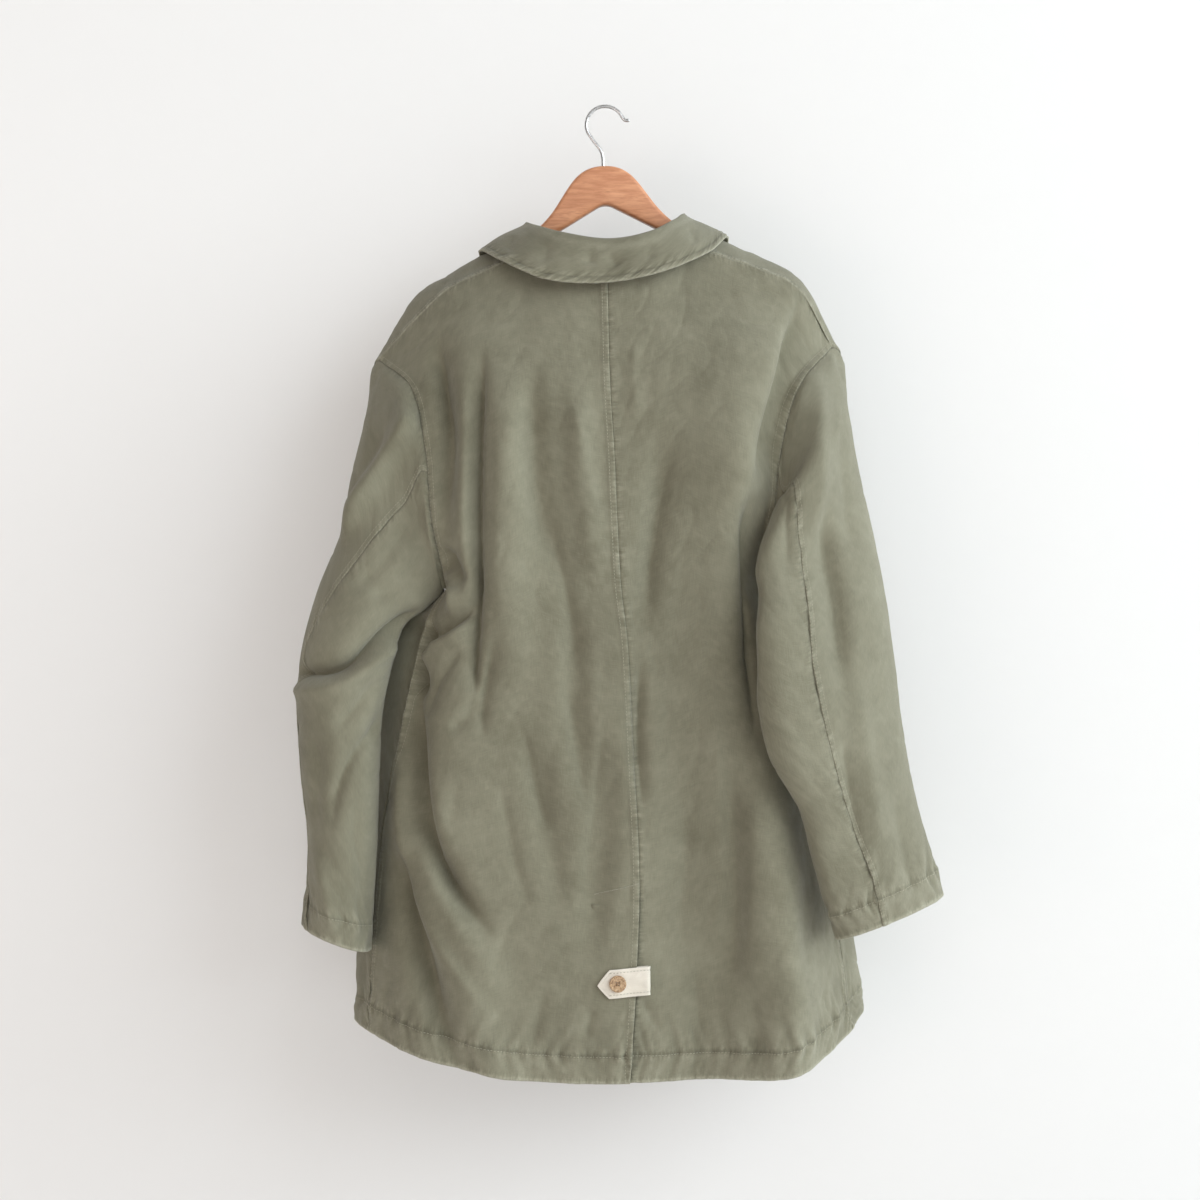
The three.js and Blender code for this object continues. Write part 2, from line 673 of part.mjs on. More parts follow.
const rightSolid = toManifold(wall(backRight, CLOTH));
const underlapSolid = toManifold(wall(underlapGrid(), CLOTH));

add('back_left', wall(backLeft, CLOTH), 'twill');
add('back_right', fromManifold(rightSolid.add(underlapSolid)), 'twill');

// ---------------------------------------------------------------- fronts

// One level line of a front, from the centre front out to the armhole or side seam.
function frontLine(half, row) {
  const section = half.sections[row];
  const closed = row > UNDERARM_ROW;
  const inward = point(CF_X - half.side * section.frontX, section.frontY, section.z);
  const places = [
    point(CF_X, section.cfY, section.z),
    sectionPoint(section, half.side, 'front'),
    sectionPoint(section, half.side, 'side'),
  ];
  if (closed) {
    places.push(sectionPoint(section, half.side, 'edge'));
  }
  const after = closed ? [sectionPoint(section, half.side, 'blade')] : [];
  const curve = through(places, [inward], after);
  return evenly(curve, 0, places.length - 1, FRONT_COLUMNS);
}

// The line across the chest that starts at the front of the neck.
function chestLine(half) {
  const outer = sectionPoint(half.sections[0], half.side, 'side');
  const places = CHEST_LINE.map((mark) => {
    const x = THREE.MathUtils.lerp(NECK_FRONT.x, outer.x, mark.share);
    return point(x, mark.y, NECK_FRONT.z + mark.rise);
  });
  return evenly(through([NECK_FRONT, ...places, outer]), 0, places.length + 1, FRONT_COLUMNS);
}

function buildFront(name) {
  const half = SIDES[name];
  const lines = ['seam', 'ridge', 'chest'].map((line) => {
    const marks = shoulderLine(half.marks, half.side, line);
    return evenly(through(marks), 0, marks.length - 1, FRONT_COLUMNS);
  });
  const rows = [...lines, chestLine(half)];
  for (let row = 1; row < half.sections.length; row += 1) {
    rows.push(frontLine(half, row));
  }
  const surface = loft(rows);
  const neck = through([lines[0][0], lines[1][0], lines[2][0], NECK_FRONT]);
  const neckLast = 3;
  const underarm = neckLast + UNDERARM_ROW;
  const columns = [...Array(FRONT_COLUMNS + 1).keys()];
  const middle = Math.round(FRONT_COLUMNS / 2);
  const indexes = panelIndexes(surface, middle, FRONT_YOKE_ROWS, half);
  const grid = seamedGrid(surface, columns, indexes, {
    first: (index) => (index <= neckLast ? neck(index) : surface(0, index)),
    last: (index) => (index <= underarm ? half.armhole.front(index) : half.seam(index - underarm)),
  });
  for (const [row, line] of grid.entries()) {
    const free = smoothStep(...FRONT_FREE_ROWS, row);
    for (const [column, place] of line.entries()) {
      const share = column / FRONT_COLUMNS;
      const held = smoothStep(...FRONT_FREE_OUTER, share);
      const inFront = smoothStep(...FRONT_FREE_INNER, share) * (1 - held);
      place.y -= foldPush(FOLDS_FRONT, place) * free * inFront;
    }
  }
  return half.side === LEFT ? grid : grid.map((line) => line.reverse());
}

// The fronts part where they lap: over moves out, under moves in, and both pass the middle.
function lapFront(grid, half, over) {
  const inner = half.side === LEFT ? 0 : FRONT_COLUMNS;
  return grid.map((line) => {
    const edge = line[inner];
    const below = 1 - smoothStep(NECK_FRONT.z + 1, NECK_FRONT.z + 1 + LAP_EASE, edge.z);
    const moved = line.map((place) => {
      const away = Math.abs(place.x - CF_X);
      const near = 1 - smoothStep(0, LAP_FADE, away);
      return place.clone().add(point(0, over * LAP_STEP * near * below, 0));
    });
    const reach = point(-half.side * LAP_REACH * below, 0, 0);
    moved[inner].add(reach);
    return moved;
  });
}

const frontLeft = lapFront(buildFront('left'), SIDES.left, 1);
const frontRight = lapFront(buildFront('right'), SIDES.right, -1);

for (const [grid, outer] of [[frontLeft, 'end'], [frontRight, 'start']]) {
  pullBack(grid, outer, edgeGap(grid, ARMHOLE_GAP));
  pullBack(grid, 'top', SHOULDER_GAP);
}

add('front_left', wall(frontLeft, CLOTH), 'twill');
add('front_right', wall(frontRight, CLOTH), 'twill');

// ---------------------------------------------------------------- sleeves

// Sections of a sleeve as rings of places, a turn from the outer edge over the back.
function sleeveRings(half) {
  const { back, front, ridgeIndex, frontLast } = half.armhole;
  const halfTurn = SLEEVE_TURN / 2;
  const overBack = [];
  for (let step = 0; step <= RIDGE_STEPS; step += 1) {
    overBack.push(front(ridgeIndex * (1 - step / RIDGE_STEPS)));
  }
  const backWalk = evenly(back, 0, UNDERARM_ROW + 1, ARMHOLE_STEPS);
  const walk = through([...overBack, ...backWalk.slice(1)]);
  const firstHalf = evenly(walk, 0, RIDGE_STEPS + ARMHOLE_STEPS, halfTurn);
  const secondHalf = evenly(front, frontLast, ridgeIndex, halfTurn);
  const loop = [...firstHalf, ...secondHalf.slice(1, -1)];
  const centre = loop.reduce((sum, place) => sum.add(place), point(0, 0, 0));
  centre.divideScalar(loop.length);
  const sections = [];
  for (const section of half.sleeve) {
    const outer = point(half.side * section.outerX, section.outerY, section.outerZ);
    const inner = point(half.side * section.innerX, section.innerY, section.innerZ);
    const middle = outer.clone().lerp(inner, 0.5);
    const reach = outer.clone().sub(middle);
    const ring = [];
    for (let step = 0; step < SLEEVE_TURN; step += 1) {
      const angle = step * 2 * Math.PI / SLEEVE_TURN;
      const place = middle.clone().addScaledVector(reach, Math.cos(angle));
      place.y -= section.depth * Math.sin(angle);
      ring.push(place);
    }
    sections.push(ring);
  }
  const cap = loop.map((place, index) => {
    const out = point(half.side, Math.sign(place.y - centre.y), 0).normalize();
    return place.clone().lerp(sections[0][index], CAP_REACH).addScaledVector(out, CAP_ROLL);
  });
  return [loop, cap, ...sections];
}

// One piece of a sleeve between two seams, given as turns for each ring.
function sleevePiece(half, rings, from, to, columns) {
  const surface = loft(rings);
  const last = rings.length - 1;
  const backEdge = (index) => surface(SLEEVE_TURN / 4, index);
  const indexes = [...evenIndexes(backEdge, 0, last, SLEEVE_ROWS), last];
  const between = (values, index) => {
    const low = Math.min(Math.floor(index), values.length - 2);
    return THREE.MathUtils.lerp(values[low], values[low + 1], index - low);
  };
  const grid = indexes.map((index) => {
    const ring = rings[0].map((_, column) => surface(column, index));
    const curve = new THREE.CatmullRomCurve3(ring, true, 'centripetal');
    const [start, end] = [between(from, index), between(to, index)];
    const line = [];
    for (let column = 0; column <= columns; column += 1) {
      const turn = THREE.MathUtils.lerp(start, end, column / columns);
      line.push(curve.getPoint(THREE.MathUtils.euclideanModulo(turn, 1)));
    }
    return half.side === LEFT ? line.reverse() : line;
  });
  pullBack(grid, 'start', SEAM_GAP);
  pullBack(grid, 'end', SEAM_GAP);
  pullBack(grid, 'top', ARMHOLE_GAP);
  return grid;
}

for (const [name, half] of Object.entries(SIDES)) {
  const rings = sleeveRings(half);
  const elbow = half.sleeve.map((section) => section.elbow);
  const back = [ELBOW_START, (ELBOW_START + elbow[0]) / 2, ...elbow];
  const frontSeam = rings.map(() => FRONT_SLEEVE_SEAM);
  const top = sleevePiece(half, rings, frontSeam.map((turn) => turn - 1), back, TOP_SLEEVE_COLUMNS);
  const under = sleevePiece(half, rings, back, frontSeam, UNDER_SLEEVE_COLUMNS);
  add(`sleeve_${name}_top`, wall(top.map((line) => line.reverse()), CLOTH), 'twillSleeve');
  add(`sleeve_${name}_under`, wall(under.map((line) => line.reverse()), CLOTH), 'twillSleeve');
}

// ---------------------------------------------------------------- collar

// The neck line at the collar's stations, from the centre back to the front end of a side.
function neckStations(half) {
  const mark = half.marks[0];
  return [
    half.neckMid.clone(),
    shoulderPoint(mark, half.side, 'seam'),
    shoulderPoint(mark, half.side, 'ridge'),
    shoulderPoint(mark, half.side, 'chest'),
    NECK_FRONT.clone().add(point(0, COLLAR_END, 2 * COLLAR_LIFT)),
  ];
}

// Across the collar: neck line, stand, roll over the fold, fall, edge.
function collarAcross(seam, fold, edge, belly) {
  const out = edge.clone().sub(fold).setZ(0).normalize();
  const down = point(0, 0, -1);
  const start = seam.clone().addScaledVector(down, -COLLAR_LIFT);
  return [
    start,
    fold.clone().addScaledVector(out, -COLLAR_ROLL).addScaledVector(down, COLLAR_ROLL),
    fold.clone(),
    fold.clone().addScaledVector(out, COLLAR_ROLL).addScaledVector(down, COLLAR_ROLL),
    fold.clone().lerp(edge, COLLAR_BELLY).addScaledVector(out, belly),
    edge.clone(),
  ];
}

function collarStations(half) {
  const seams = neckStations(half);
  return half.collar.map((station, index) => collarAcross(
    seams[index],
    point(half.side * station.foldX, station.foldY, station.foldZ),
    point(half.side * station.edgeX, station.edgeY, station.edgeZ),
    station.belly,
  ));
}

const collarLines = [
  ...collarStations(SIDES.left).reverse(),
  collarAcross(NECK_BACK, COLLAR_BACK.fold, COLLAR_BACK.edge, 1.5),
  ...collarStations(SIDES.right),
];

function collarGrid() {
  const lines = collarLines[0].map((_, across) => {
    const curve = through(collarLines.map((station) => station[across]));
    return evenly(curve, 0, collarLines.length - 1, COLLAR_COLUMNS);
  });
  const surface = loft(lines);
  const last = lines.length - 1;
  const middle = (index) => surface(COLLAR_COLUMNS / 2, index);
  const indexes = [...evenIndexes(middle, 0, last, COLLAR_ROWS), last];
  const columns = [...Array(COLLAR_COLUMNS + 1).keys()];
  return indexes.map((index) => columns.map((column) => surface(column, index)));
}

add('collar', wall(collarGrid(), CLOTH), 'twill');

// ---------------------------------------------------------------- vent tab and buttons

// The y of a grid's faceted middle surface at x, z, or of its nearest place beyond its edge.
function depthAt(grid, x, z) {
  let nearest = Infinity;
  let depth = 0;
  const target = point(x, 0, z);
  for (let row = 0; row < grid.length - 1; row += 1) {
    for (let column = 0; column < grid[0].length - 1; column += 1) {
      const [a, b] = [grid[row][column], grid[row + 1][column]];
      const [c, d] = [grid[row + 1][column + 1], grid[row][column + 1]];
      for (const corners of [[a, b, c], [a, c, d]]) {
        const flat = corners.map((corner) => point(corner.x, 0, corner.z));
        const shares = THREE.Triangle.getBarycoord(target, ...flat, point(0, 0, 0));
        if (shares && Math.min(shares.x, shares.y, shares.z) >= 0) {
          return shares.x * corners[0].y + shares.y * corners[1].y + shares.z * corners[2].y;
        }
      }
      const away = Math.hypot(a.x - x, a.z - z);
      if (away < nearest) {
        nearest = away;
        depth = a.y;
      }
    }
  }
  return depth;
}

// Rows from the point's side to the fold, round it and back under the overlap.
function tabGrid() {
  const overlapY = (x, z) => depthAt(backLeft, Math.min(x, TAB.seat), z);
  return [...Array(TAB.rows + 1).keys()].map((row) => {
    const share = row / TAB.rows * 2 - 1;
    const level = (x) => TAB.middleZ - share * TAB.width / 2 + TAB.slant * (x - TAB.seat);
    const pointX = TAB.point + Math.abs(share) ** TAB.blunt * TAB.shoulder;
    const line = [];
    for (let step = 0; step <= TAB.overSteps; step += 1) {
      const x = THREE.MathUtils.lerp(pointX, TAB.fold, step / TAB.overSteps);
      line.push(point(x, overlapY(x, level(x)) - TAB.stand, level(x)));
    }
    const radius = (TAB.stand + VENT_STEP / 2) / 2;
    const z = level(TAB.fold);
    const middleY = overlapY(TAB.fold, z) - TAB.stand + radius;
    for (let step = 1; step < TAB.bendSteps; step += 1) {
      const angle = step / TAB.bendSteps * Math.PI;
      line.push(point(TAB.fold + radius * Math.sin(angle), middleY - radius * Math.cos(angle), z));
    }
    for (let step = 0; step <= TAB.underSteps; step += 1) {
      const x = THREE.MathUtils.lerp(TAB.fold, TAB.inner, step / TAB.underSteps);
      line.push(point(x, overlapY(x, level(x)) + VENT_STEP / 2, level(x)));
    }
    return line;
  });
}

add('vent_tab', wall(tabGrid(), TAB_CLOTH), 'canvas');

// A dished four-hole button, its axis along +Z and its back at z = 0.
function buttonGeometry() {
  const outline = BUTTON_PROFILE.map(({ r, z }) => new THREE.Vector2(r, z));
  const body = new THREE.LatheGeometry(outline, BUTTON.sides);
  body.rotateX(Math.PI / 2);
  let solid = toManifold(body);
  for (let number = 0; number < BUTTON.holes; number += 1) {
    const angle = (number + 0.5) * 2 * Math.PI / BUTTON.holes;
    const drill = new THREE.CylinderGeometry(BUTTON.hole, BUTTON.hole, BUTTON.thickness * 3, 8);
    drill.rotateX(Math.PI / 2);
    drill.translate(BUTTON.pitch * Math.cos(angle), BUTTON.pitch * Math.sin(angle), 0);
    solid = solid.subtract(toManifold(drill));
  }
  return fromManifold(solid);
}

// Buttons face the outside of the cloth that they close.
function addButton(name, x, y, z, facing) {
  const geometry = buttonGeometry();
  geometry.rotateX(facing * -Math.PI / 2);
  geometry.translate(x, y, z);
  return add(name, geometry, 'horn');
}

// Where a button's back clears the cloth all round: the outermost y under it.
function buttonSeat(grid, x, z, facing) {
  const depths = [depthAt(grid, x, z)];
  for (let step = 0; step < BUTTON_RING; step += 1) {
    const angle = step * 2 * Math.PI / BUTTON_RING;
    const [dx, dz] = [BUTTON.radius * Math.cos(angle), BUTTON.radius * Math.sin(angle)];
    depths.push(depthAt(grid, x + dx, z + dz));
  }
  return facing > 0 ? Math.max(...depths) : Math.min(...depths);
}

const tabFront = buttonSeat(backLeft, VENT_BUTTON.x, VENT_BUTTON.z, -1) - TAB.stand - TAB_CLOTH / 2;
addButton('vent_button', VENT_BUTTON.x, tabFront - BUTTON_SEAT, VENT_BUTTON.z, -1);

for (let number = 1; number <= FRONT_BUTTONS.count; number += 1) {
  const z = FRONT_BUTTONS.first - (number - 1) * FRONT_BUTTONS.spacing;
  const y = buttonSeat(frontLeft, CF_X, z, 1) + CLOTH / 2 + BUTTON_SEAT;
  addButton(`front_button_${number}`, CF_X, y, z, 1);
}

// ---------------------------------------------------------------- pockets

// A patch laid on a front panel: the panel's own places, moved out.
function pocketGrid(front, side) {
  const middleX = side * (POCKET.inner + POCKET.width / 2);
  const grid = [];
  for (let row = 0; row <= POCKET.rows; row += 1) {
    const down = row / POCKET.rows;
    const line = [];
    for (let column = 0; column <= POCKET.columns; column += 1) {
      const across = column / POCKET.columns * 2 - 1;
      const corner = POCKET.corner * Math.abs(across) ** POCKET.across * down ** POCKET.down;
      const x = middleX + across * POCKET.width / 2;
      const z = POCKET.top - POCKET.height * down + corner;
      line.push(point(x, depthAt(front, x, z), z));
    }
    grid.push(line);
  }
  return offset(grid.map((line) => line.reverse()), POCKET.stand + CLOTH / 2);
}

add('pocket_left', wall(pocketGrid(frontLeft, LEFT), CLOTH), 'twill');
add('pocket_right', wall(pocketGrid(frontRight, RIGHT), CLOTH), 'twill');

// ---------------------------------------------------------------- hanger

// The hanger's outline in its own level frame, with the stem at x = 0 and the top at z = 0.
function hangerOutline() {
  const mirrored = HANGER_OUTLINE.slice(1).reverse().map((knot) => ({
    x: -knot.x,
    z: knot.z,
    intoX: -knot.outX,
    intoZ: knot.outZ,
    outX: -knot.intoX,
    outZ: knot.intoZ,
  }));
  const [top, ...rest] = HANGER_OUTLINE;
  const outline = new THREE.Shape();
  outline.moveTo(top.x, top.z);
  let from = top;
  for (const knot of [...rest, ...mirrored, top]) {
    outline.bezierCurveTo(from.outX, from.outZ, knot.intoX, knot.intoZ, knot.x, knot.z);
    from = knot;
  }
  return outline;
}

function hangerGeometry() {
  const { thickness, roundOver } = HANGER;
  const geometry = new THREE.ExtrudeGeometry(hangerOutline(), {
    depth: thickness - 2 * roundOver,
    bevelEnabled: true,
    bevelThickness: roundOver,
    bevelSize: roundOver,
    bevelOffset: -roundOver,
    bevelSegments: 3,
    curveSegments: 8,
  });
  geometry.translate(0, 0, -(thickness - 2 * roundOver) / 2);
  geometry.rotateX(Math.PI / 2);
  return geometry;
}

function hookGeometry() {
  const { wire, inner, centreX, opening, foot, turn, sink, steps } = HOOK;
  const radius = inner + wire / 2;
  const places = HOOK_TIP.map(({ out, up }) => point(centreX + radius + out, 0, up - inner));
  for (let degrees = opening; degrees <= foot; degrees += turn) {
    const angle = THREE.MathUtils.degToRad(degrees);
    places.push(point(centreX + radius * Math.cos(angle), 0, radius * Math.sin(angle) - inner));
  }
  for (const { x, z } of HOOK_SHANK) {
    places.push(point(x, 0, z));
  }
  places.push(point(HANGER.stemX, 0, HANGER.top - sink));
  const section = new THREE.Shape();
  section.absarc(0, 0, wire / 2, 0, 2 * Math.PI);
  return new THREE.ExtrudeGeometry(section, {
    steps,
    curveSegments: 6,
    extrudePath: new THREE.CatmullRomCurve3(places),
  });
}

// The hole in the top of the stem that the hook is driven into.
function stemHole() {
  const radius = HOOK.wire / 2 + HOOK.play;
  const hole = new THREE.CylinderGeometry(radius, radius, HOOK.holeLength, 16);
  hole.rotateX(Math.PI / 2);
  hole.translate(HANGER.stemX, 0, HANGER.top - HOOK.holeDepth + HOOK.holeLength / 2);
  return hole;
}

const hangerWood = hangerGeometry();
hangerWood.rotateY(-HANGER_TILT);
hangerWood.translate(HANGER.stemX, 0, HANGER.top);

add('hanger', fromManifold(toManifold(hangerWood).subtract(toManifold(stemHole()))), 'beech');
add('hanger_hook', fromManifold(toManifold(hookGeometry())), 'steel');

export default coat;
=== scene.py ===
import math

import bmesh
import bpy
import numpy as np
from mathutils import Matrix, Vector
from mathutils.bvhtree import BVHTree


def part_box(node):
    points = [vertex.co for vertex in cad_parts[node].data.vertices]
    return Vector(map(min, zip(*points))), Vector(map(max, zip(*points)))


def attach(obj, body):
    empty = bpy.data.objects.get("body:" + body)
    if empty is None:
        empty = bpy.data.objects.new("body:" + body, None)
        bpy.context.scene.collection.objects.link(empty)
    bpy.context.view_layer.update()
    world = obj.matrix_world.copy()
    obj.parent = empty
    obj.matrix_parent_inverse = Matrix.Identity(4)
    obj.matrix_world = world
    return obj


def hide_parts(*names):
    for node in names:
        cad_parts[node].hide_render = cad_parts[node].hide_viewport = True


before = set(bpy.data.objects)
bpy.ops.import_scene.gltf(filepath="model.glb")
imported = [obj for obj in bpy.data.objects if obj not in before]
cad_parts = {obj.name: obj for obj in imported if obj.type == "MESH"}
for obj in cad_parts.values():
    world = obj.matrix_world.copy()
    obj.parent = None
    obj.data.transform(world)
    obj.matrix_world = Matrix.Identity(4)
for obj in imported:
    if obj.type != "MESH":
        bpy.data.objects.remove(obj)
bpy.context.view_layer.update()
MM = 0.001

# ---------------------------------------------------------------- Hanger
# A one-piece wooden hanger, sawn from a board, its edges rounded over and varnished.
# It stands inside the shoulders, and the wire hook is driven into the top of its stem.

HANGER_TOP = -61.5
HANGER_STEM_X = -3
HANGER_THICKNESS = 14
HANGER_ROUND = 4
HANGER_TILT = math.radians(2.6)
WOOD_DARK = (0.57, 0.23, 0.105, 1)
WOOD_PALE = (0.78, 0.38, 0.20, 1)
WOOD_STREAK = (0.53, 0.215, 0.10, 1)
WOOD_PORE = (0.42, 0.16, 0.068, 1)
# Half of the outline from the top of the stem round the arm to the middle underneath.
# Each row is a place and the two handles that steer the curve before and after it.
HANGER_OUTLINE = [
    ((0, 0), (-26, 0), (26, 0)),
    ((48, -36), (34, -16), (56, -48)),
    ((84, -71), (66, -60), (119, -89)),
    ((189, -126.3), (154, -108), (196.3, -130.4)),
    ((200, -137.1), (200, -134), (200, -141.9)),
    ((189, -143.7), (196.3, -147.4), (128, -111)),
    ((8, -43.5), (68, -77), (2.7, -40.8)),
]


def smooth_mesh(obj):
    """Shades every face of an object smooth."""
    obj.data.polygons.foreach_set("use_smooth", [True] * len(obj.data.polygons))
    obj.data.update()


def link_piece(name, mesh, materials):
    """An object at the origin, its place in its mesh, with its materials and smooth shading; its caller sets
    it to ride with the coat.
    """
    obj = bpy.data.objects.new(name, mesh)
    bpy.context.scene.collection.objects.link(obj)
    for material in materials:
        mesh.materials.append(material)
    smooth_mesh(obj)
    return obj


def curve_mesh(name, curve, place):
    """The mesh of a curve's solid, set in place, its normals outward."""
    holder = bpy.data.objects.new(name, curve)
    bpy.context.scene.collection.objects.link(holder)
    bpy.context.view_layer.update()
    graph = bpy.context.evaluated_depsgraph_get()
    mesh = bpy.data.meshes.new_from_object(holder.evaluated_get(graph))
    bpy.data.objects.remove(holder)
    shape = bmesh.new()
    shape.from_mesh(mesh)
    bmesh.ops.transform(shape, matrix=place, verts=shape.verts)
    bmesh.ops.remove_doubles(shape, verts=shape.verts, dist=0.00001)
    bmesh.ops.recalc_face_normals(shape, faces=shape.faces)
    shape.to_mesh(mesh)
    shape.free()
    mesh.name = name
    mesh.materials.clear()
    return mesh


def node_group(name, inputs, outputs):
    """An empty shader group with named sockets, and its input and output nodes."""
    group = bpy.data.node_groups.new(name, "ShaderNodeTree")
    for label, kind in inputs:
        group.interface.new_socket(name=label, in_out="INPUT", socket_type=kind)
    for label, kind in outputs:
        group.interface.new_socket(name=label, in_out="OUTPUT", socket_type=kind)
    return group, group.nodes.new("NodeGroupInput"), group.nodes.new("NodeGroupOutput")


def add_node(tree, kind, settings=(), **inputs):
    """A node with its settings and inputs; an input may be a value or another socket."""
    node = tree.nodes.new(kind)
    for label, value in dict(settings).items():
        setattr(node, label, value)
    for label, value in inputs.items():
        socket = node.inputs[int(label[1:])] if label[0] == "i" and label[1:].isdigit() else \
            node.inputs[label.replace("_", " ")]
        if isinstance(value, bpy.types.NodeSocket):
            tree.links.new(value, socket)
        else:
            socket.default_value = value
    return node


def math_node(tree, operation, first, second=0.0):
    """The result of one sum on two values or sockets."""
    return add_node(tree, "ShaderNodeMath", {"operation": operation}, i0=first, i1=second).outputs[0]


def mix_colour(tree, factor, first, second, blend="MIX"):
    """A colour between two others."""
    node = add_node(tree, "ShaderNodeMix", {"data_type": "RGBA", "blend_type": blend})
    for index, value in ((0, factor), (6, first), (7, second)):
        if isinstance(value, bpy.types.NodeSocket):
            tree.links.new(value, node.inputs[index])
        else:
            node.inputs[index].default_value = value
    return node.outputs[2]


def new_material(name):
    """A material with its node tree and its Principled shader."""
    material = bpy.data.materials.new(name)
    material.use_nodes = True
    tree = material.node_tree
    return material, tree, tree.nodes["Principled BSDF"]


def clouds(tree, vector, scale, detail=3.0, roughness=0.5, distortion=0.0):
    """Soft noise over coordinates."""
    return add_node(tree, "ShaderNodeTexNoise", Vector=vector, Scale=scale, Detail=detail,
                    Roughness=roughness, Distortion=distortion).outputs[0]


def between(tree, value, low, high, out_low=0.0, out_high=1.0):
    """A value spread from one range to another, and held there."""
    node = add_node(tree, "ShaderNodeMapRange", {"clamp": True}, i0=value, i1=low, i2=high,
                    i3=out_low, i4=out_high)
    return node.outputs[0]


def stretched(tree, vector, scale):
    """Coordinates drawn out, so that a pattern on them runs long where the scale is small."""
    return add_node(tree, "ShaderNodeMapping", Vector=vector, Scale=scale).outputs[0]


def surface_finish(tree, shader, colour, roughness, height, strength, depth):
    """Joins a colour, a roughness and a relief of the given depth to a shader."""
    tree.links.new(colour, shader.inputs["Base Color"])
    tree.links.new(roughness, shader.inputs["Roughness"])
    bump = add_node(tree, "ShaderNodeBump", Strength=strength, Distance=depth, Height=height)
    tree.links.new(bump.outputs[0], shader.inputs["Normal"])


def hanger_wood():
    """Varnished beech: orange brown, fine long grain with short darker pores."""
    material, tree, shader = new_material("hanger_wood")
    object_place = add_node(tree, "ShaderNodeTexCoord").outputs["Object"]
    along = stretched(tree, object_place, (0.16, 1.0, 1.0))
    grain = clouds(tree, along, 260.0, 5.0, 0.6, 0.4)
    pores = clouds(tree, stretched(tree, object_place, (0.08, 1.0, 1.0)), 1500.0, 2.0)
    broad = clouds(tree, along, 42.0, 2.0)
    colour = mix_colour(tree, between(tree, grain, 0.35, 0.68), WOOD_DARK, WOOD_PALE)
    colour = mix_colour(tree, between(tree, broad, 0.4, 0.65, 0.0, 0.45), colour, WOOD_STREAK)
    colour = mix_colour(tree, between(tree, pores, 0.62, 0.72, 0.0, 0.5), colour, WOOD_PORE)
    roughness = between(tree, grain, 0.3, 0.7, 0.34, 0.46)
    surface_finish(tree, shader, colour, roughness, grain, 0.25, 0.0003)
    shader.inputs["Coat Weight"].default_value = 0.35
    shader.inputs["Coat Roughness"].default_value = 0.16
    return material


def hanger_piece():
    """The board: its outline extruded, rounded over, tilted and stood in its place."""
    curve = bpy.data.curves.new("hanger_outline", "CURVE")
    curve.dimensions = "2D"
    curve.fill_mode = "BOTH"
    curve.resolution_u = 16
    curve.extrude = (HANGER_THICKNESS / 2 - HANGER_ROUND) * MM
    curve.bevel_depth = HANGER_ROUND * MM
    curve.bevel_resolution = 4
    curve.offset = -HANGER_ROUND * MM
    right = HANGER_OUTLINE
    left = [((-x, z), (-ax, az), (-bx, bz)) for (x, z), (bx, bz), (ax, az) in reversed(right[1:])]
    rows = right + left
    spline = curve.splines.new("BEZIER")
    spline.bezier_points.add(len(rows) - 1)
    spline.use_cyclic_u = True
    for knot, (place, before, after) in zip(spline.bezier_points, rows):
        knot.handle_left_type = knot.handle_right_type = "FREE"
        knot.co = (place[0] * MM, place[1] * MM, 0)
        knot.handle_left = (before[0] * MM, before[1] * MM, 0)
        knot.handle_right = (after[0] * MM, after[1] * MM, 0)
    upright = Matrix.Rotation(math.pi / 2, 4, "X")
    tilt = Matrix.Rotation(-HANGER_TILT, 4, "Y")
    stand = Matrix.Translation((HANGER_STEM_X * MM, 0, HANGER_TOP * MM))
    mesh = curve_mesh("wooden_hanger", curve, stand @ tilt @ upright)
    return link_piece("wooden_hanger", mesh, [hanger_wood()])


wooden_hanger = hanger_piece()
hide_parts("hanger")
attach(wooden_hanger, "root")

# ---------------------------------------------------------------- Hook
# A question-mark hook bent from 3.7 mm steel wire, nickel plated, its tip cut and rounded.
# The inside of its top is where a rail carries the whole coat.

HOOK_WIRE = 3.7
HOOK_INNER = 18
HOOK_CENTRE_X = -1
HOOK_BEND = range(24, 206, 12)
# The cut tip, out and up from the start of the bend; the shank, beside the stem's middle.
HOOK_TIP = [(5.5, 5.2), (1.2, 4.4)]
HOOK_SHANK = [(-10, -35), (-2.4, -44), (-0.4, -51), (0, HANGER_TOP + 2), (0, HANGER_TOP - 8)]
STEEL_DARK = (0.50, 0.50, 0.50, 1)
STEEL_PALE = (0.66, 0.66, 0.655, 1)


def hook_steel():
    """Nickel-plated wire: a soft metal with fine drawing lines."""
    material, tree, shader = new_material("hook_wire")
    object_place = add_node(tree, "ShaderNodeTexCoord").outputs["Object"]
    smear = clouds(tree, object_place, 260.0, 3.0)
    lines = clouds(tree, stretched(tree, object_place, (1.0, 1.0, 0.1)), 1800.0, 2.0)
    colour = mix_colour(tree, smear, STEEL_DARK, STEEL_PALE)
    surface_finish(tree, shader, colour, between(tree, smear, 0.35, 0.65, 0.2, 0.36), lines, 0.12, 0.0001)
    shader.inputs["Metallic"].default_value = 1.0
    return material


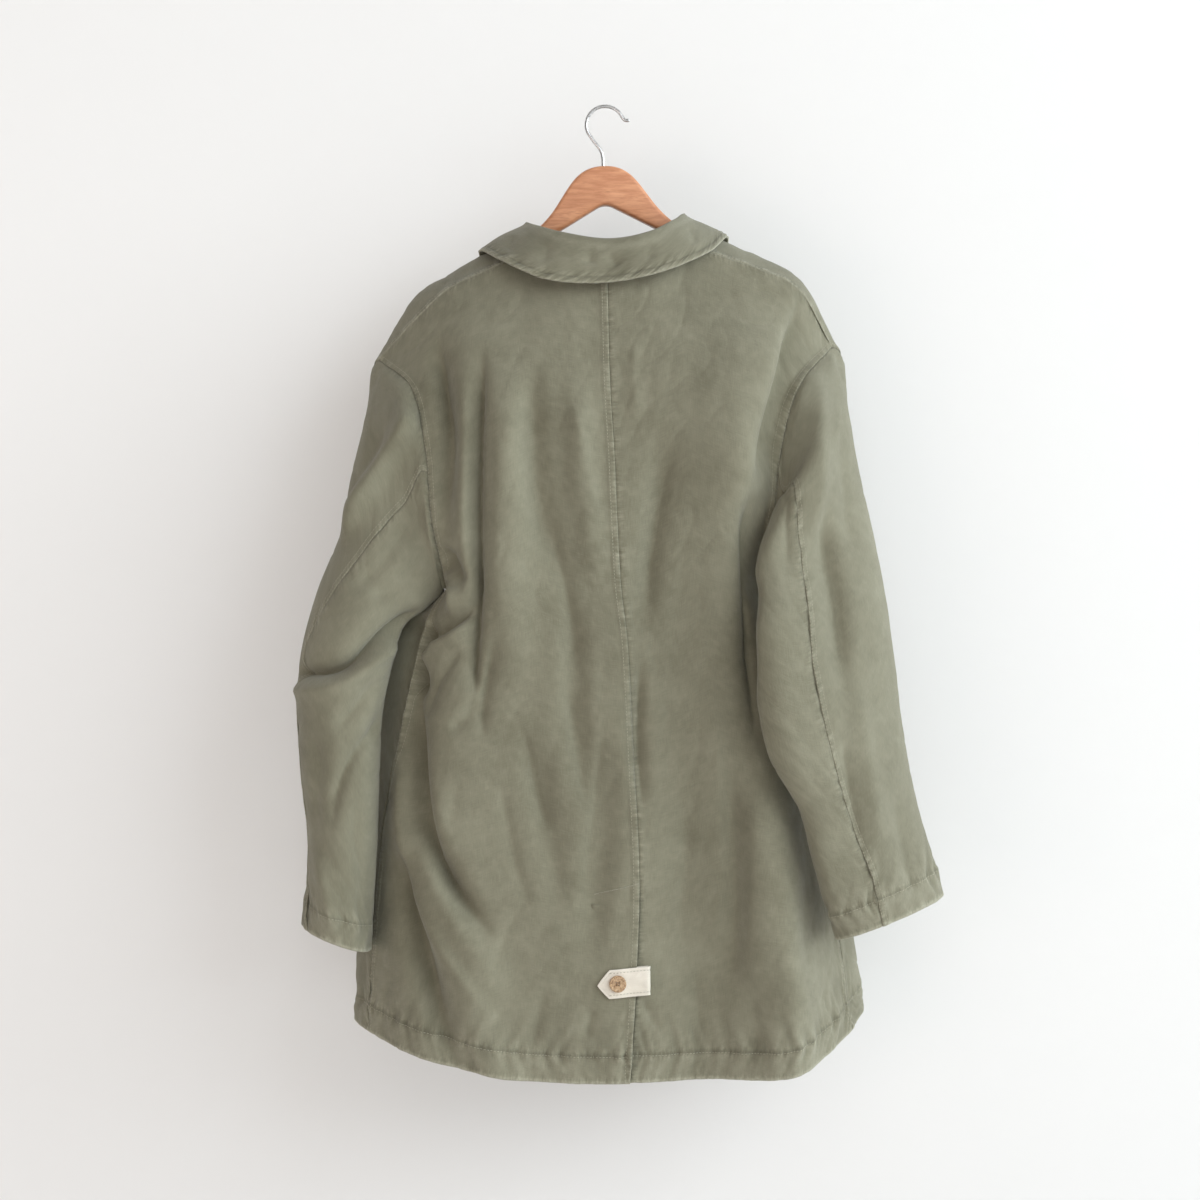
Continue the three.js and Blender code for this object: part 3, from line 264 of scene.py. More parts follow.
def hook_piece():
    """The wire from its cut tip round the bend and down its shank into the stem."""
    radius = HOOK_INNER + HOOK_WIRE / 2
    centre_z = -HOOK_INNER
    places = [(HOOK_CENTRE_X + radius + out, centre_z + up) for out, up in HOOK_TIP]
    for degrees in HOOK_BEND:
        turn = math.radians(degrees)
        places.append((HOOK_CENTRE_X + radius * math.cos(turn), centre_z + radius * math.sin(turn)))
    places += [(HANGER_STEM_X + x, z) for x, z in HOOK_SHANK]
    curve = bpy.data.curves.new("hook_bend", "CURVE")
    curve.dimensions = "3D"
    curve.bevel_depth = HOOK_WIRE / 2 * MM
    curve.bevel_resolution = 5
    curve.use_fill_caps = True
    curve.resolution_u = 8
    spline = curve.splines.new("NURBS")
    spline.points.add(len(places) - 1)
    for knot, (x, z) in zip(spline.points, places):
        knot.co = (x * MM, 0, z * MM, 1)
    spline.order_u = 3
    spline.use_endpoint_u = True
    return link_piece("steel_hook", curve_mesh("steel_hook", curve, Matrix.Identity(4)), [hook_steel()])


steel_hook = hook_piece()
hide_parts("hanger_hook")
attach(steel_hook, "root")

# ---------------------------------------------------------------- Back panels
# Two panels of olive cotton twill, garment dyed and washed, felled together down the centre
# back. Below the vent top the left one laps over the right. Both are cut in one to the hem.

CLOTH = 1.2
NECK_SHARE = 0.4
LEFT, RIGHT = -1, 1
SIDE_WORD = {LEFT: "left", RIGHT: "right"}
UNDERARM = 3
FELL_WIDTH = 7.0
FELL_STITCH = FELL_WIDTH - 1.3
FELL_BACK = FELL_WIDTH + 0.6
EDGE_STITCH = 1.2
HEM_TURN = 27.0
HEM_STITCH = HEM_TURN - 1.5
BACK_WIDTH = 235
BACK_LENGTH = 840
BACK_EDGE = 0.94
BACK_HELD_ROWS = 0.75
UNDERLAP = 48
VENT_STEP = 5
SEAM_PUCKER = {"pitch": 9, "height": 0.8, "reach": 12}
HEM_PUCKER = {"pitch": 8, "height": 2.8, "reach": 26}
TWILL_DARK = (0.185, 0.174, 0.117, 1)
TWILL_MID = (0.262, 0.250, 0.177, 1)
TWILL_PALE = (0.43, 0.415, 0.315, 1)


def table(columns, rows):
    """Rows of numbers as a dictionary of named columns."""
    return dict(zip(columns.split(), np.array(rows, float).T))


# Level sections of the body, x measured out from the middle plane, in millimetres.
SECTION = "z cbX cbY backX backY bladeX bladeY edgeX edgeY sideX sideY frontX frontY cfY rise bend"
SECTIONS = {
    LEFT: table(SECTION, [
        [-300, -4, -76, 62, -82, 132, -82, 199, -52, 203, 28, 90, 60, 62, 0, 2],
        [-365, -8, -84, 62, -88, 136, -90, 184, -66, 182, 34, 90, 72, 74, 0, 2],
        [-435, -11, -88, 64, -92, 140, -95, 177, -74, 171, 30, 88, 80, 82, 0, 2],
        [-505, -15, -90, 64, -94, 138, -96, 163, -50, 163, -50, 92, 84, 86, 0, 2],
        [-532, -17, -91, 66, -95, 142, -96, 182, -52, 228, 14, 102, 86, 88, 0, 2],
        [-680, -28, -93, 78, -98, 166, -96, 217, -46, 243, 8, 120, 92, 94, 0, 2],
        [-800, -33, -96, 82, -100, 178, -96, 235, -38, 255, 4, 128, 95, 98, 0, 2],
        [-900, -30, -101, 86, -102, 182, -97, 241, -44, 260, -6, 130, 98, 100, 0, 2],
        [-1001, -24, -103, 86, -104, 184, -98, 243, -52, 261, -10, 130, 98, 100, 50, 2],
    ]),
    RIGHT: table(SECTION, [
        [-300, 4, -76, 66, -79, 130, -80, 197, -50, 203, 28, 90, 60, 62, 0, 4],
        [-365, 8, -84, 68, -83, 134, -90, 179, -54, 182, 34, 90, 72, 74, 0, 4],
        [-435, 11, -88, 72, -83, 140, -92, 172, -56, 172, 32, 88, 80, 82, 0, 4],
        [-505, 15, -90, 74, -82, 144, -90, 166, -38, 166, -38, 92, 84, 86, 0, 4],
        [-580, 21, -91, 74, -81, 150, -89, 194, -22, 220, 26, 108, 88, 90, 0, 4],
        [-680, 28, -93, 78, -81, 158, -91, 214, -18, 238, 24, 120, 92, 94, 0, 4],
        [-800, 33, -96, 94, -80, 178, -105, 231, -24, 251, 14, 126, 95, 98, 0, 4],
        [-900, 30, -101, 104, -81, 190, -112, 245, -36, 263, 6, 130, 98, 100, 0, 4],
        [-999, 24, -103, 102, -86, 192, -110, 252, -46, 267, -4, 130, 98, 100, 58, 6],
    ]),
}
# From the collar out to the shoulder point: back seam, fold over the hanger, chest below it.
SHOULDER = "seamX seamY seamZ ridgeX ridgeZ chestX chestY chestZ"
SHOULDERS = {
    LEFT: table(SHOULDER, [
        [84, -36, -159, 95, -137, 86, 30, -164],
        [124, -36, -177, 130, -154.5, 124, 32, -184],
        [163, -35, -196, 163, -174, 162, 33, -206],
        [197, -29, -227, 200, -199, 196, 29, -232],
        [237, -10, -266, 243, -270, 238, 9, -281],
    ]),
    RIGHT: table(SHOULDER, [
        [80, -36, -148, 92, -125, 84, 30, -155],
        [120, -36, -162, 126, -141.5, 122, 32, -172],
        [158, -35, -175, 164, -159, 160, 33, -190],
        [197, -29, -193, 204, -182, 197, 30, -215],
        [236, -9, -252, 246, -257, 241, 9, -268],
    ]),
}
NECK_BACK = (1, -54, -173)
NECK_MID = {LEFT: (-46, -49, -167), RIGHT: (46, -49, -163)}
VENT_TOP = -800

# Broad folds of the back, the same as the solid's: three places, width and depth, where a
# depth over 0 goes in and one under 0 stands out.
FOLD = "x1 z1 x2 z2 x3 z3 width depth"
BACK_FOLDS = table(FOLD, [
    [-174, -240, -160, -336, -160, -470, 22, 12],
    [-147, -270, -147, -380, -142, -560, 18, -6],
    [-100, -260, -94, -420, -92, -640, 40, -9],
    [-76, -262, -72, -400, -46, -500, 26, 8],
    [-30, -262, -26, -400, -4, -520, 28, -7],
    [-36, -500, -30, -620, -14, -740, 24, 7],
    [60, -330, 46, -460, 32, -580, 26, 8],
    [34, -570, 31, -650, 34, -730, 18, 7],
    [-198, -600, -188, -740, -112, -880, 24, 16],
    [-196, -640, -168, -790, -84, -960, 34, -10],
    [-206, -760, -190, -870, -138, -1010, 26, 14],
    [-160, -860, -120, -960, -80, -1080, 40, -10],
    [-72, -650, -60, -740, -44, -840, 30, 7],
    [8, -640, -4, -760, -20, -900, 26, 7],
    [212, -820, 218, -900, 224, -1120, 34, 10],
])
# Sharper creases in them: four places from top to bottom, the reach of the slope on each
# side as seen from behind, and the depth.
CREASE = "x1 z1 x2 z2 x3 z3 x4 z4 left right depth"
BACK_CREASES = table(CREASE, [
    [-172, -236, -166, -300, -158, -350, -158, -440, 8, 6, 8],
    [-124, -250, -126, -340, -126, -440, -125, -540, 10, 3.2, 17],
    [-109, -300, -109, -390, -110, -480, -106, -580, 6, 15, -4.5],
    [-144, -320, -144, -400, -143, -470, -141, -540, 12, 6, -4],
    [-125, -450, -127, -525, -130, -575, -133, -618, 10, 3.2, 18],
    [-110, -545, -117, -590, -122, -622, -125, -660, 7, 5, 10],
    [-134, -608, -138, -630, -148, -640, -160, -638, 5, 7, 6],
    [-76, -290, -74, -350, -72, -420, -62, -480, 12, 10, 4],
    [-58, -440, -44, -490, -34, -540, -31, -600, 10, 8, 6],
    [-40, -590, -34, -640, -26, -690, -20, -730, 8, 6, 5.5],
    [-36, -300, -24, -360, -12, -420, -6, -460, 10, 8, -3.5],
    [27, -240, 28, -280, 29, -310, 30, -340, 7, 7, -2.5],
    [70, -345, 58, -410, 47, -470, 40, -540, 10, 9, 5.5],
    [38, -560, 33, -620, 33, -680, 38, -741, 6, 6, 5.5],
    [204, -196, 181, -275, 162, -338, 146, -410, 5, 18, 18],
    [182, -215, 168, -290, 154, -350, 144, -440, 50, 8, -9],
    [148, -380, 148, -470, 149, -560, 156, -690, 18, 14, 20],
    [122, -670, 126, -750, 128, -840, 122, -930, 12, 14, 10],
    [108, -600, 114, -700, 116, -800, 110, -890, 48, 8, -6],
    [148, -690, 150, -760, 150, -840, 146, -920, 14, 28, -10],
    [-197, -560, -192, -697, -170, -778, -108, -860, 9, 7, 20],
    [-214, -640, -205, -760, -176, -850, -100, -950, 10, 8, -8],
    [-210, -760, -204, -818, -181, -878, -158, -950, 11, 8, 17],
    [-84, -640, -76, -676, -66, -725, -52, -751, 7, 5, 5.5],
    [-108, -690, -98, -740, -88, -790, -72, -830, 8, 6, 3.5],
    [0, -620, -8, -690, -16, -760, -26, -841, 8, 6, 5.5],
    [34, -915, 42, -930, 48, -941, 54, -952, 5, 5, 4.5],
    [-13, -921, -15, -934, -17, -947, -19, -959, 5, 5, 4.5],
    [-190, -530, -195, -555, -196, -590, -192, -620, 7, 6, 24],
    [-166, -458, -160, -476, -152, -490, -146, -508, 6, 6, 11],
    [-166, -486, -155, -496, -153, -516, -160, -536, 5, 4, -11],
    [-130, -516, -150, -536, -166, -548, -180, -558, 5, 4, 12],
    [-131, -532, -156, -552, -182, -566, -196, -592, 5, 7, -10],
    [-204, -532, -190, -542, -184, -554, -192, -576, 6, 6, 16],
    [-146, -560, -160, -580, -176, -606, -184, -640, 6, 8, 7],
    [176, -520, 168, -545, 150, -570, 128, -582, 6, 7, 4],
    [74, -700, 80, -760, 76, -830, 78, -900, 12, 9, 3.5],
    [196, -700, 204, -770, 200, -850, 206, -920, 10, 10, 4],
    [96, -880, 92, -910, 94, -940, 90, -965, 7, 7, 3.5],
    [-60, -900, -66, -925, -70, -950, -74, -975, 6, 8, 3.5],
    [150, -900, 146, -930, 150, -955, 148, -975, 8, 7, 4],
])


def curve_between(p0, p1, p2, p3, share):
    """Places from p1 to p2 on a centripetal curve that also passes through p0 and p3."""
    d0, d1, d2 = (np.sqrt(np.linalg.norm(b - a, axis=-1, keepdims=True))
                  for a, b in ((p0, p1), (p1, p2), (p2, p3)))
    d1 = np.where(d1 < 1e-2, 1.0, d1)
    d0 = np.where(d0 < 1e-2, d1, d0)
    d2 = np.where(d2 < 1e-2, d1, d2)
    start = ((p1 - p0) / d0 - (p2 - p0) / (d0 + d1) + (p2 - p1) / d1) * d1
    end = ((p2 - p1) / d1 - (p3 - p1) / (d1 + d2) + (p3 - p2) / d2) * d1
    return p1 + start * share + (3 * (p2 - p1) - 2 * start - end) * share ** 2 \
        + (2 * (p1 - p2) + start + end) * share ** 3


def spline_places(points, index, before=None, after=None):
    """Places at index values on a centripetal curve through points, an array (n, ..., 3).
    before and after only steer its ends."""
    whole = np.array(points, float)
    lead = 0
    if before is not None:
        whole = np.concatenate([np.array(before, float)[None], whole])
        lead = 1
    if after is not None:
        whole = np.concatenate([whole, np.array(after, float)[None]])
    padded = np.concatenate([2 * whole[:1] - whole[1:2], whole, 2 * whole[-1:] - whole[-2:-1]])
    place = np.asarray(index, float) + lead
    low = np.clip(np.floor(place).astype(int), 0, len(whole) - 2)
    share = (place - low).reshape((-1,) + (1,) * (whole.ndim - 1))
    return curve_between(*(padded[low + step] for step in range(4)), share)


def spread(points, start, end, shares, before=None, after=None):
    """Index values of the places that lie at the given shares of a curve's length."""
    fine = np.linspace(start, end, 400)
    walk = spline_places(points, fine, before, after)
    lengths = np.concatenate([[0], np.cumsum(np.linalg.norm(np.diff(walk, axis=0), axis=1))])
    return np.interp(np.asarray(shares) * lengths[-1], lengths, fine)


def evenly(points, start, end, shares, before=None, after=None):
    """Places at the given shares of a curve's length."""
    index = spread(points, start, end, shares, before, after)
    return spline_places(points, index, before, after)


def smooth_step(low, high, value):
    """0 below low and 1 above high, easing between; turned round if low is the higher."""
    share = np.clip((np.asarray(value, float) - low) / (high - low), 0, 1)
    return share * share * (3 - 2 * share)


def graded(length, coarse, first, last, fine=1.3):
    """Shares of a length in coarse steps, with fine ones over its first and last stretch."""
    middle = max(4, round((length - first - last) / coarse))
    parts = [np.linspace(0, first, max(1, round(first / fine)) + 1)[:-1],
             np.linspace(first, length - last, middle + 1)[:-1],
             np.linspace(length - last, length, max(1, round(last / fine)) + 1)]
    return np.concatenate(parts) / length


def section_point(section, row, side, name):
    """A named place of a level section, lifted by the rise of the hem."""
    x = section[name + "X"][row]
    rise = section["rise"][row] * (abs(x) / section["sideX"][row]) ** section["bend"][row]
    return (side * x, section[name + "Y"][row], section["z"][row] + rise)


def shoulder_line(side, name):
    """One of the three lines that run out along a shoulder."""
    marks = SHOULDERS[side]
    y = np.zeros(5) if name == "ridge" else marks[name + "Y"]
    return np.stack([side * marks[name + "X"], y, marks[name + "Z"]], axis=1)


def armhole_points(side, name):
    """The armhole down to the underarm: "edge" is its back half, "side" its front half."""
    tip = [shoulder_line(side, line)[-1] for line in (("seam",) if name == "edge" else
                                                      ("seam", "ridge", "chest"))]
    return np.array(tip + [section_point(SECTIONS[side], row, side, name) for row in range(UNDERARM + 1)])


def side_seam_points(side):
    """The side seam from the underarm to the hem."""
    return np.array([section_point(SECTIONS[side], row, side, "edge") for row in range(UNDERARM, 9)])


def edge_places(index, armhole, side):
    """Where a body panel's outer edge runs: the armhole, then the side seam."""
    under = len(armhole) - 1
    return np.where((index <= under)[:, None],
                    spline_places(armhole, np.minimum(index, under)),
                    spline_places(side_seam_points(side), np.maximum(index - under, 0)))


def draw_to(grid, column, target):
    """Draws one edge column of a grid to its true line, and the rest along with it."""
    last = grid.shape[1] - 1
    pull = 1 - np.abs(np.arange(last + 1) - column) / last
    shift = target - grid[:, column]
    return grid + shift[:, None] * (pull ** 3)[None, :, None]


def back_rows(side, shares):
    """The lofted lines of one half of the back, from the centre back outwards."""
    left, right = SECTIONS[LEFT], SECTIONS[RIGHT]
    neck = [shoulder_line(LEFT, "seam")[0], NECK_MID[LEFT], NECK_BACK, NECK_MID[RIGHT],
            shoulder_line(RIGHT, "seam")[0]]
    in_neck = shares <= NECK_SHARE
    top = np.empty((len(shares), 3))
    top[in_neck] = evenly(neck, 2, 2 + 2 * side, shares[in_neck] / NECK_SHARE)
    top[~in_neck] = evenly(shoulder_line(side, "seam"), 0, 4,
                           (shares[~in_neck] - NECK_SHARE) / (1 - NECK_SHARE))
    rows = [top]
    for row in range(9):
        middle = (right["cbX"][row], right["cbY"][row], (left["z"][row] + right["z"][row]) / 2)
        line = [section_point(left, row, LEFT, name) for name in ("edge", "blade", "back")]
        line += [middle]
        line += [section_point(right, row, RIGHT, name) for name in ("back", "blade", "edge")]
        closed = row > UNDERARM
        before = section_point(left, row, LEFT, "side") if closed else None
        after = section_point(right, row, RIGHT, "side") if closed else None
        rows.append(evenly(line, 3, 3 + 3 * side, shares, before, after))
    return np.array(rows)


def nearness(away, width):
    """1 on a line and fading to nothing over about twice a width."""
    return np.exp(-(away / width) ** 2)


def stroke(flat, points, left, right, taper=0.28):
    """How strongly a drawn line touches each flat place: 1 on it, fading to each side."""
    line = spline_places(np.array(points, float), np.linspace(0, len(points) - 1, 25))
    best = np.full(len(flat), np.inf)
    side_of = np.zeros(len(flat))
    run_of = np.zeros(len(flat))
    for step in range(24):
        start, move = line[step], line[step + 1] - line[step]
        offset = flat - start
        along = np.clip(offset @ move / (move @ move), 0, 1)
        away = offset - along[:, None] * move
        distance = np.hypot(away[:, 0], away[:, 1])
        nearer = distance < best
        best = np.where(nearer, distance, best)
        side_of = np.where(nearer, move[0] * offset[:, 1] - move[1] * offset[:, 0], side_of)
        run_of = np.where(nearer, (step + along) / 24, run_of)
    reach = np.where(side_of > 0, right, left)
    ends = smooth_step(0, taper, run_of) * smooth_step(0, taper, 1 - run_of)
    return best / reach, ends


def fold_depth(places, folds):
    """Push towards the inside of the coat from a table of broad folds."""
    flat = places[..., [0, 2]].reshape(-1, 2)
    push = np.zeros(len(flat))
    for number in range(len(folds["depth"])):
        best = np.zeros(len(flat))
        knots = [np.array([folds[f"x{k}"][number], folds[f"z{k}"][number]]) for k in (1, 2, 3)]
        for leg in range(2):
            start, move = knots[leg], knots[leg + 1] - knots[leg]
            held = np.clip((flat - start) @ move / (move @ move), 0, 1)
            away = np.linalg.norm(flat - start - held[:, None] * move, axis=1)
            run = (leg + held) / 2
            ends = smooth_step(0, 0.3, run) * smooth_step(0, 0.3, 1 - run)
            best = np.maximum(best, nearness(away, folds["width"][number] / 2) * ends)
        push += folds["depth"][number] * best
    return push.reshape(places.shape[:-1])


def crease_depth(places, creases):
    """Push towards the inside of the coat from a table of creases with sharp hearts."""
    flat = places[..., [0, 2]].reshape(-1, 2)
    push = np.zeros(len(flat))
    for number in range(len(creases["depth"])):
        points = [[creases[f"x{k}"][number], creases[f"z{k}"][number]] for k in (1, 2, 3, 4)]
        away, ends = stroke(flat, points, creases["left"][number], creases["right"][number])
        push += creases["depth"][number] * ends * np.exp(0.3 - np.sqrt(away ** 2 + 0.09))
    return push.reshape(places.shape[:-1])


def value_noise(first, second, seed):
    """Smooth noise from -1 to 1 over a plane, its cells one unit wide."""
    lattice = np.random.default_rng(seed).uniform(-1, 1, (64, 64))
    low_a, low_b = np.floor(first).astype(int), np.floor(second).astype(int)
    a, b = first - low_a, second - low_b
    a, b = a * a * (3 - 2 * a), b * b * (3 - 2 * b)
    corner = [[lattice[(low_a + i) % 64, (low_b + j) % 64] for j in (0, 1)] for i in (0, 1)]
    near = corner[0][0] * (1 - b) + corner[0][1] * b
    far = corner[1][0] * (1 - b) + corner[1][1] * b
    return near * (1 - a) + far * a


def rumple(across, down, seed):
    """Unplanned wrinkles of washed cotton, longer downwards than across, in millimetres."""
    lean = across + 0.18 * down
    wave = value_noise(lean / 38, down / 120, seed) * 0.8
    fold = (0.5 - np.abs(value_noise(lean / 19, down / 70, seed + 1))) * 0.7
    small = (0.5 - np.abs(value_noise((across - 0.3 * down) / 9, down / 22, seed + 2))) * 0.4
    lines = (1 - np.abs(value_noise((across + 0.5 * down) / 26, down / 44, seed + 3))) ** 9 * 0.9
    return wave + fold + small + lines


def pucker(along, away, seed, pitch, height, reach):
    """The crinkle beside a seam whose thread has drawn up in the wash."""
    lean = along + 0.35 * away
    crinkle = value_noise(lean / pitch, away / 30, seed)
    crinkle += 0.5 * value_noise(lean / pitch * 2.1, away / 20, seed + 7)
    return height * crinkle * np.exp(-(away / reach) ** 1.5)


def fell(away, height):
    """The raised strip of a felled seam with the furrow of its topstitching."""
    strip = smooth_step(-0.4, 0.9, away) * (1 - smooth_step(FELL_WIDTH, FELL_WIDTH + 1.4, away))
    return height * strip - 0.3 * nearness(away - FELL_STITCH, 0.9)


def hem_step(from_hem, height):
    """The step up on to a hem's double cloth, and the furrow of its stitching."""
    step = smooth_step(HEM_TURN + 2.5, HEM_TURN + 0.5, from_hem)
    return height * step - 0.45 * nearness(from_hem - HEM_STITCH, 1.1)


def lengths_along(places, axis):
    """Distance from the first row or column of a grid, following the cloth."""
    steps = np.linalg.norm(np.diff(places, axis=axis), axis=-1)
    pad = [(0, 0), (0, 0)]
    pad[axis] = (1, 0)
    return np.pad(np.cumsum(steps, axis=axis), pad)


def weave_over(places, turn=1):
    """Where each place lies on the flat cloth, in metres; a turn of -1 mirrors it."""
    return np.stack([lengths_along(places, 1) * turn, -lengths_along(places, 0)], axis=-1) * MM


def grid_normals(places, outward):
    """Unit normals of a grid, turned so that on the whole they agree with outward."""
    across = np.gradient(places, axis=1)
    down = np.gradient(places, axis=0)
    normals = np.cross(across, down)
    normals /= np.maximum(np.linalg.norm(normals, axis=-1, keepdims=True), 1e-9)
    return normals * np.sign(np.sum(normals * outward))


def turn_hem(places, normals, turn=HEM_TURN, gap=1.9):
    """Rows that carry a panel round its bottom edge and back up inside it."""
    up = lengths_along(places[::-1], 0).mean(axis=1)
    count = max(3, int(np.searchsorted(up, turn)))
    down = places[-1] - places[-2]
    down /= np.linalg.norm(down, axis=-1, keepdims=True)
    rows = [places[-1] + down * gap * 0.4 - normals[-1] * gap * 0.5]
    rows += [places[-1 - step] - normals[-1 - step] * gap for step in range(0, count, 2)]
    return np.array(rows)


def with_turned_hem(places, normals, weave, wear_and_shade, crimp, rubbed):
    """A panel's grid and its maps, carried on round the bottom edge by its turned hem."""
    turned = turn_hem(places, normals)
    count = len(turned)
    weave_turn = np.repeat(weave[-1:], count, axis=0)
    weave_turn[..., 1] -= np.linspace(0.5, HEM_TURN, count)[:, None] * MM
    wear_turn = np.zeros(turned.shape[:2])
    wear_turn[0] = rubbed
    parts = [(places, turned), (normals, -np.repeat(normals[-1:], count, axis=0)),
             (weave, weave_turn), (wear_and_shade, wear_turn), (crimp, np.zeros((count,) + crimp.shape[1:]))]
    return tuple(np.concatenate(part) for part in parts)


def finished_mesh(shape, name):
    """A bmesh made into a named mesh, and freed."""
    mesh = bpy.data.meshes.new(name)
    shape.to_mesh(mesh)
    shape.free()
    return mesh


def cloth_mesh(name, places, normals, weave, wear_and_shade, crimp):
    """A grid of cloth: its places in millimetres, weave coordinates in metres, its wear and painted shade,
    and how near it is to the crinkled cloth of seams that run down it and across it."""
    rows, columns = places.shape[:2]
    shape = bmesh.new()
    bmesh.ops.create_grid(shape, x_segments=columns - 1, y_segments=rows - 1, size=0.5)
    mesh = finished_mesh(shape, name)
    flat = np.empty(len(mesh.vertices) * 3, np.float32)
    mesh.vertices.foreach_get("co", flat)
    flat = flat.reshape(-1, 3)
    column = np.rint((flat[:, 0] + 0.5) * (columns - 1)).astype(int)
    row = np.rint((0.5 - flat[:, 1]) * (rows - 1)).astype(int)
    mesh.vertices.foreach_set("co", (places[row, column] * MM).astype(np.float32).ravel())
    spread_out = np.cross(places[:, 1:] - places[:, :-1], np.gradient(places, axis=0)[:, 1:])
    if np.sum(spread_out * normals[:, 1:]) > 0:
        mesh.flip_normals()
    layer = mesh.uv_layers.new(name="weave")
    corner = np.empty(len(mesh.loops), np.int32)
    mesh.loops.foreach_get("vertex_index", corner)
    layer.data.foreach_set("uv", weave[row, column][corner].astype(np.float32).ravel())
    # The wear map: above 0 pale where the cloth rubs, below 0 painted shade in furrows and dips.
    wear_and_painted_light = mesh.attributes.new("wear_and_shade", "FLOAT", "POINT")
    wear_and_painted_light.data.foreach_set("value", wear_and_shade[row, column].astype(np.float32))
    near = np.zeros((len(row), 3), np.float32)
    near[:, :2] = crimp[row, column]
    crinkled = mesh.attributes.new("crimp", "FLOAT_VECTOR", "POINT")
    crinkled.data.foreach_set("vector", near.ravel())
    mesh.update()
    return mesh


def sewn_piece(name, mesh, material, node, thickness=CLOTH):
    """A cloth piece with its wall, standing for its solid."""
    obj = link_piece(name, mesh, [material])
    wall = obj.modifiers.new("wall", "SOLIDIFY")
    wall.thickness = thickness * MM
    wall.offset = 0
    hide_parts(node)
    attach(obj, "root")
    return obj


def weave_group():
    """Twill: fine ribs that climb to the right, crossed by single threads, with thick yarns."""
    group, given, result = node_group(
        "twill_weave", [("Vector", "NodeSocketVector"), ("Ribs", "NodeSocketFloat")],
        [("Height", "NodeSocketFloat"), ("Yarn", "NodeSocketFloat")])
    parts = add_node(group, "ShaderNodeSeparateXYZ", i0=given.outputs[0])
    ribs = given.outputs[1]
    across = math_node(group, "MULTIPLY", parts.outputs[0], ribs)
    down = math_node(group, "MULTIPLY", parts.outputs[1], ribs)
    rib = math_node(group, "SINE", math_node(group, "ADD", across, down))
    thread = math_node(group, "SINE", math_node(group, "MULTIPLY",
                       math_node(group, "SUBTRACT", across, down), 2.0))
    height = math_node(group, "ADD", math_node(group, "MULTIPLY", rib, 0.35),
                       math_node(group, "MULTIPLY", thread, 0.15))
    warp = stretched(group, given.outputs[0], (1.0, 0.06, 1.0))
    weft = stretched(group, given.outputs[0], (0.06, 1.0, 1.0))
    slubs = math_node(group, "ADD", clouds(group, warp, 1500.0, 2.0), clouds(group, weft, 1500.0, 2.0))
    group.links.new(math_node(group, "ADD", height, slubs), result.inputs[0])
    group.links.new(slubs, result.inputs[1])
    return group


def wash_group():
    """Garment-dye fading: cloudy patches, and a fleck where the nap has rubbed."""
    group, given, result = node_group(
        "wash", [("Vector", "NodeSocketVector")],
        [("Cloud", "NodeSocketFloat"), ("Fleck", "NodeSocketFloat")])
    broad = clouds(group, given.outputs[0], 7.0, 4.0, 0.6)
    small = clouds(group, given.outputs[0], 38.0, 3.0, 0.6)
    fleck = clouds(group, given.outputs[0], 420.0, 3.0, 0.7)
    cloud = math_node(group, "ADD", broad, math_node(group, "MULTIPLY", small, 0.5))
    group.links.new(between(group, cloud, 0.5, 1.0), result.inputs[0])
    group.links.new(between(group, fleck, 0.35, 0.7), result.inputs[1])
    return group


def crimp_group():
    """Short ticks across a seam, where its thread has drawn the cloth up."""
    group, given, result = node_group(
        "seam_crimp", [("Vector", "NodeSocketVector"), ("Near", "NodeSocketVector")],
        [("Tick", "NodeSocketFloat")])
    near = add_node(group, "ShaderNodeSeparateXYZ", i0=given.outputs[1])
    ticks = []
    for axis, stretch in ((0, (0.3, 1.0, 1.0)), (1, (1.0, 0.3, 1.0))):
        drawn = clouds(group, stretched(group, given.outputs[0], stretch), 230.0, 2.0, 0.6)
        tick = between(group, drawn, 0.32, 0.68, -1.0, 1.0)
        ticks.append(math_node(group, "MULTIPLY", tick, near.outputs[axis]))
    group.links.new(math_node(group, "ADD", *ticks), result.inputs[0])
    return group


WEAVE = weave_group()
CRIMP = crimp_group()
WASH = wash_group()


def place_group(tree, group, **inputs):
    """A node group set in a tree, its inputs values or sockets; gives its outputs."""
    node = tree.nodes.new("ShaderNodeGroup")
    node.node_tree = group
    for label, value in inputs.items():
        if isinstance(value, bpy.types.NodeSocket):
            tree.links.new(value, node.inputs[label])
        else:
            node.inputs[label].default_value = value
    return node.outputs


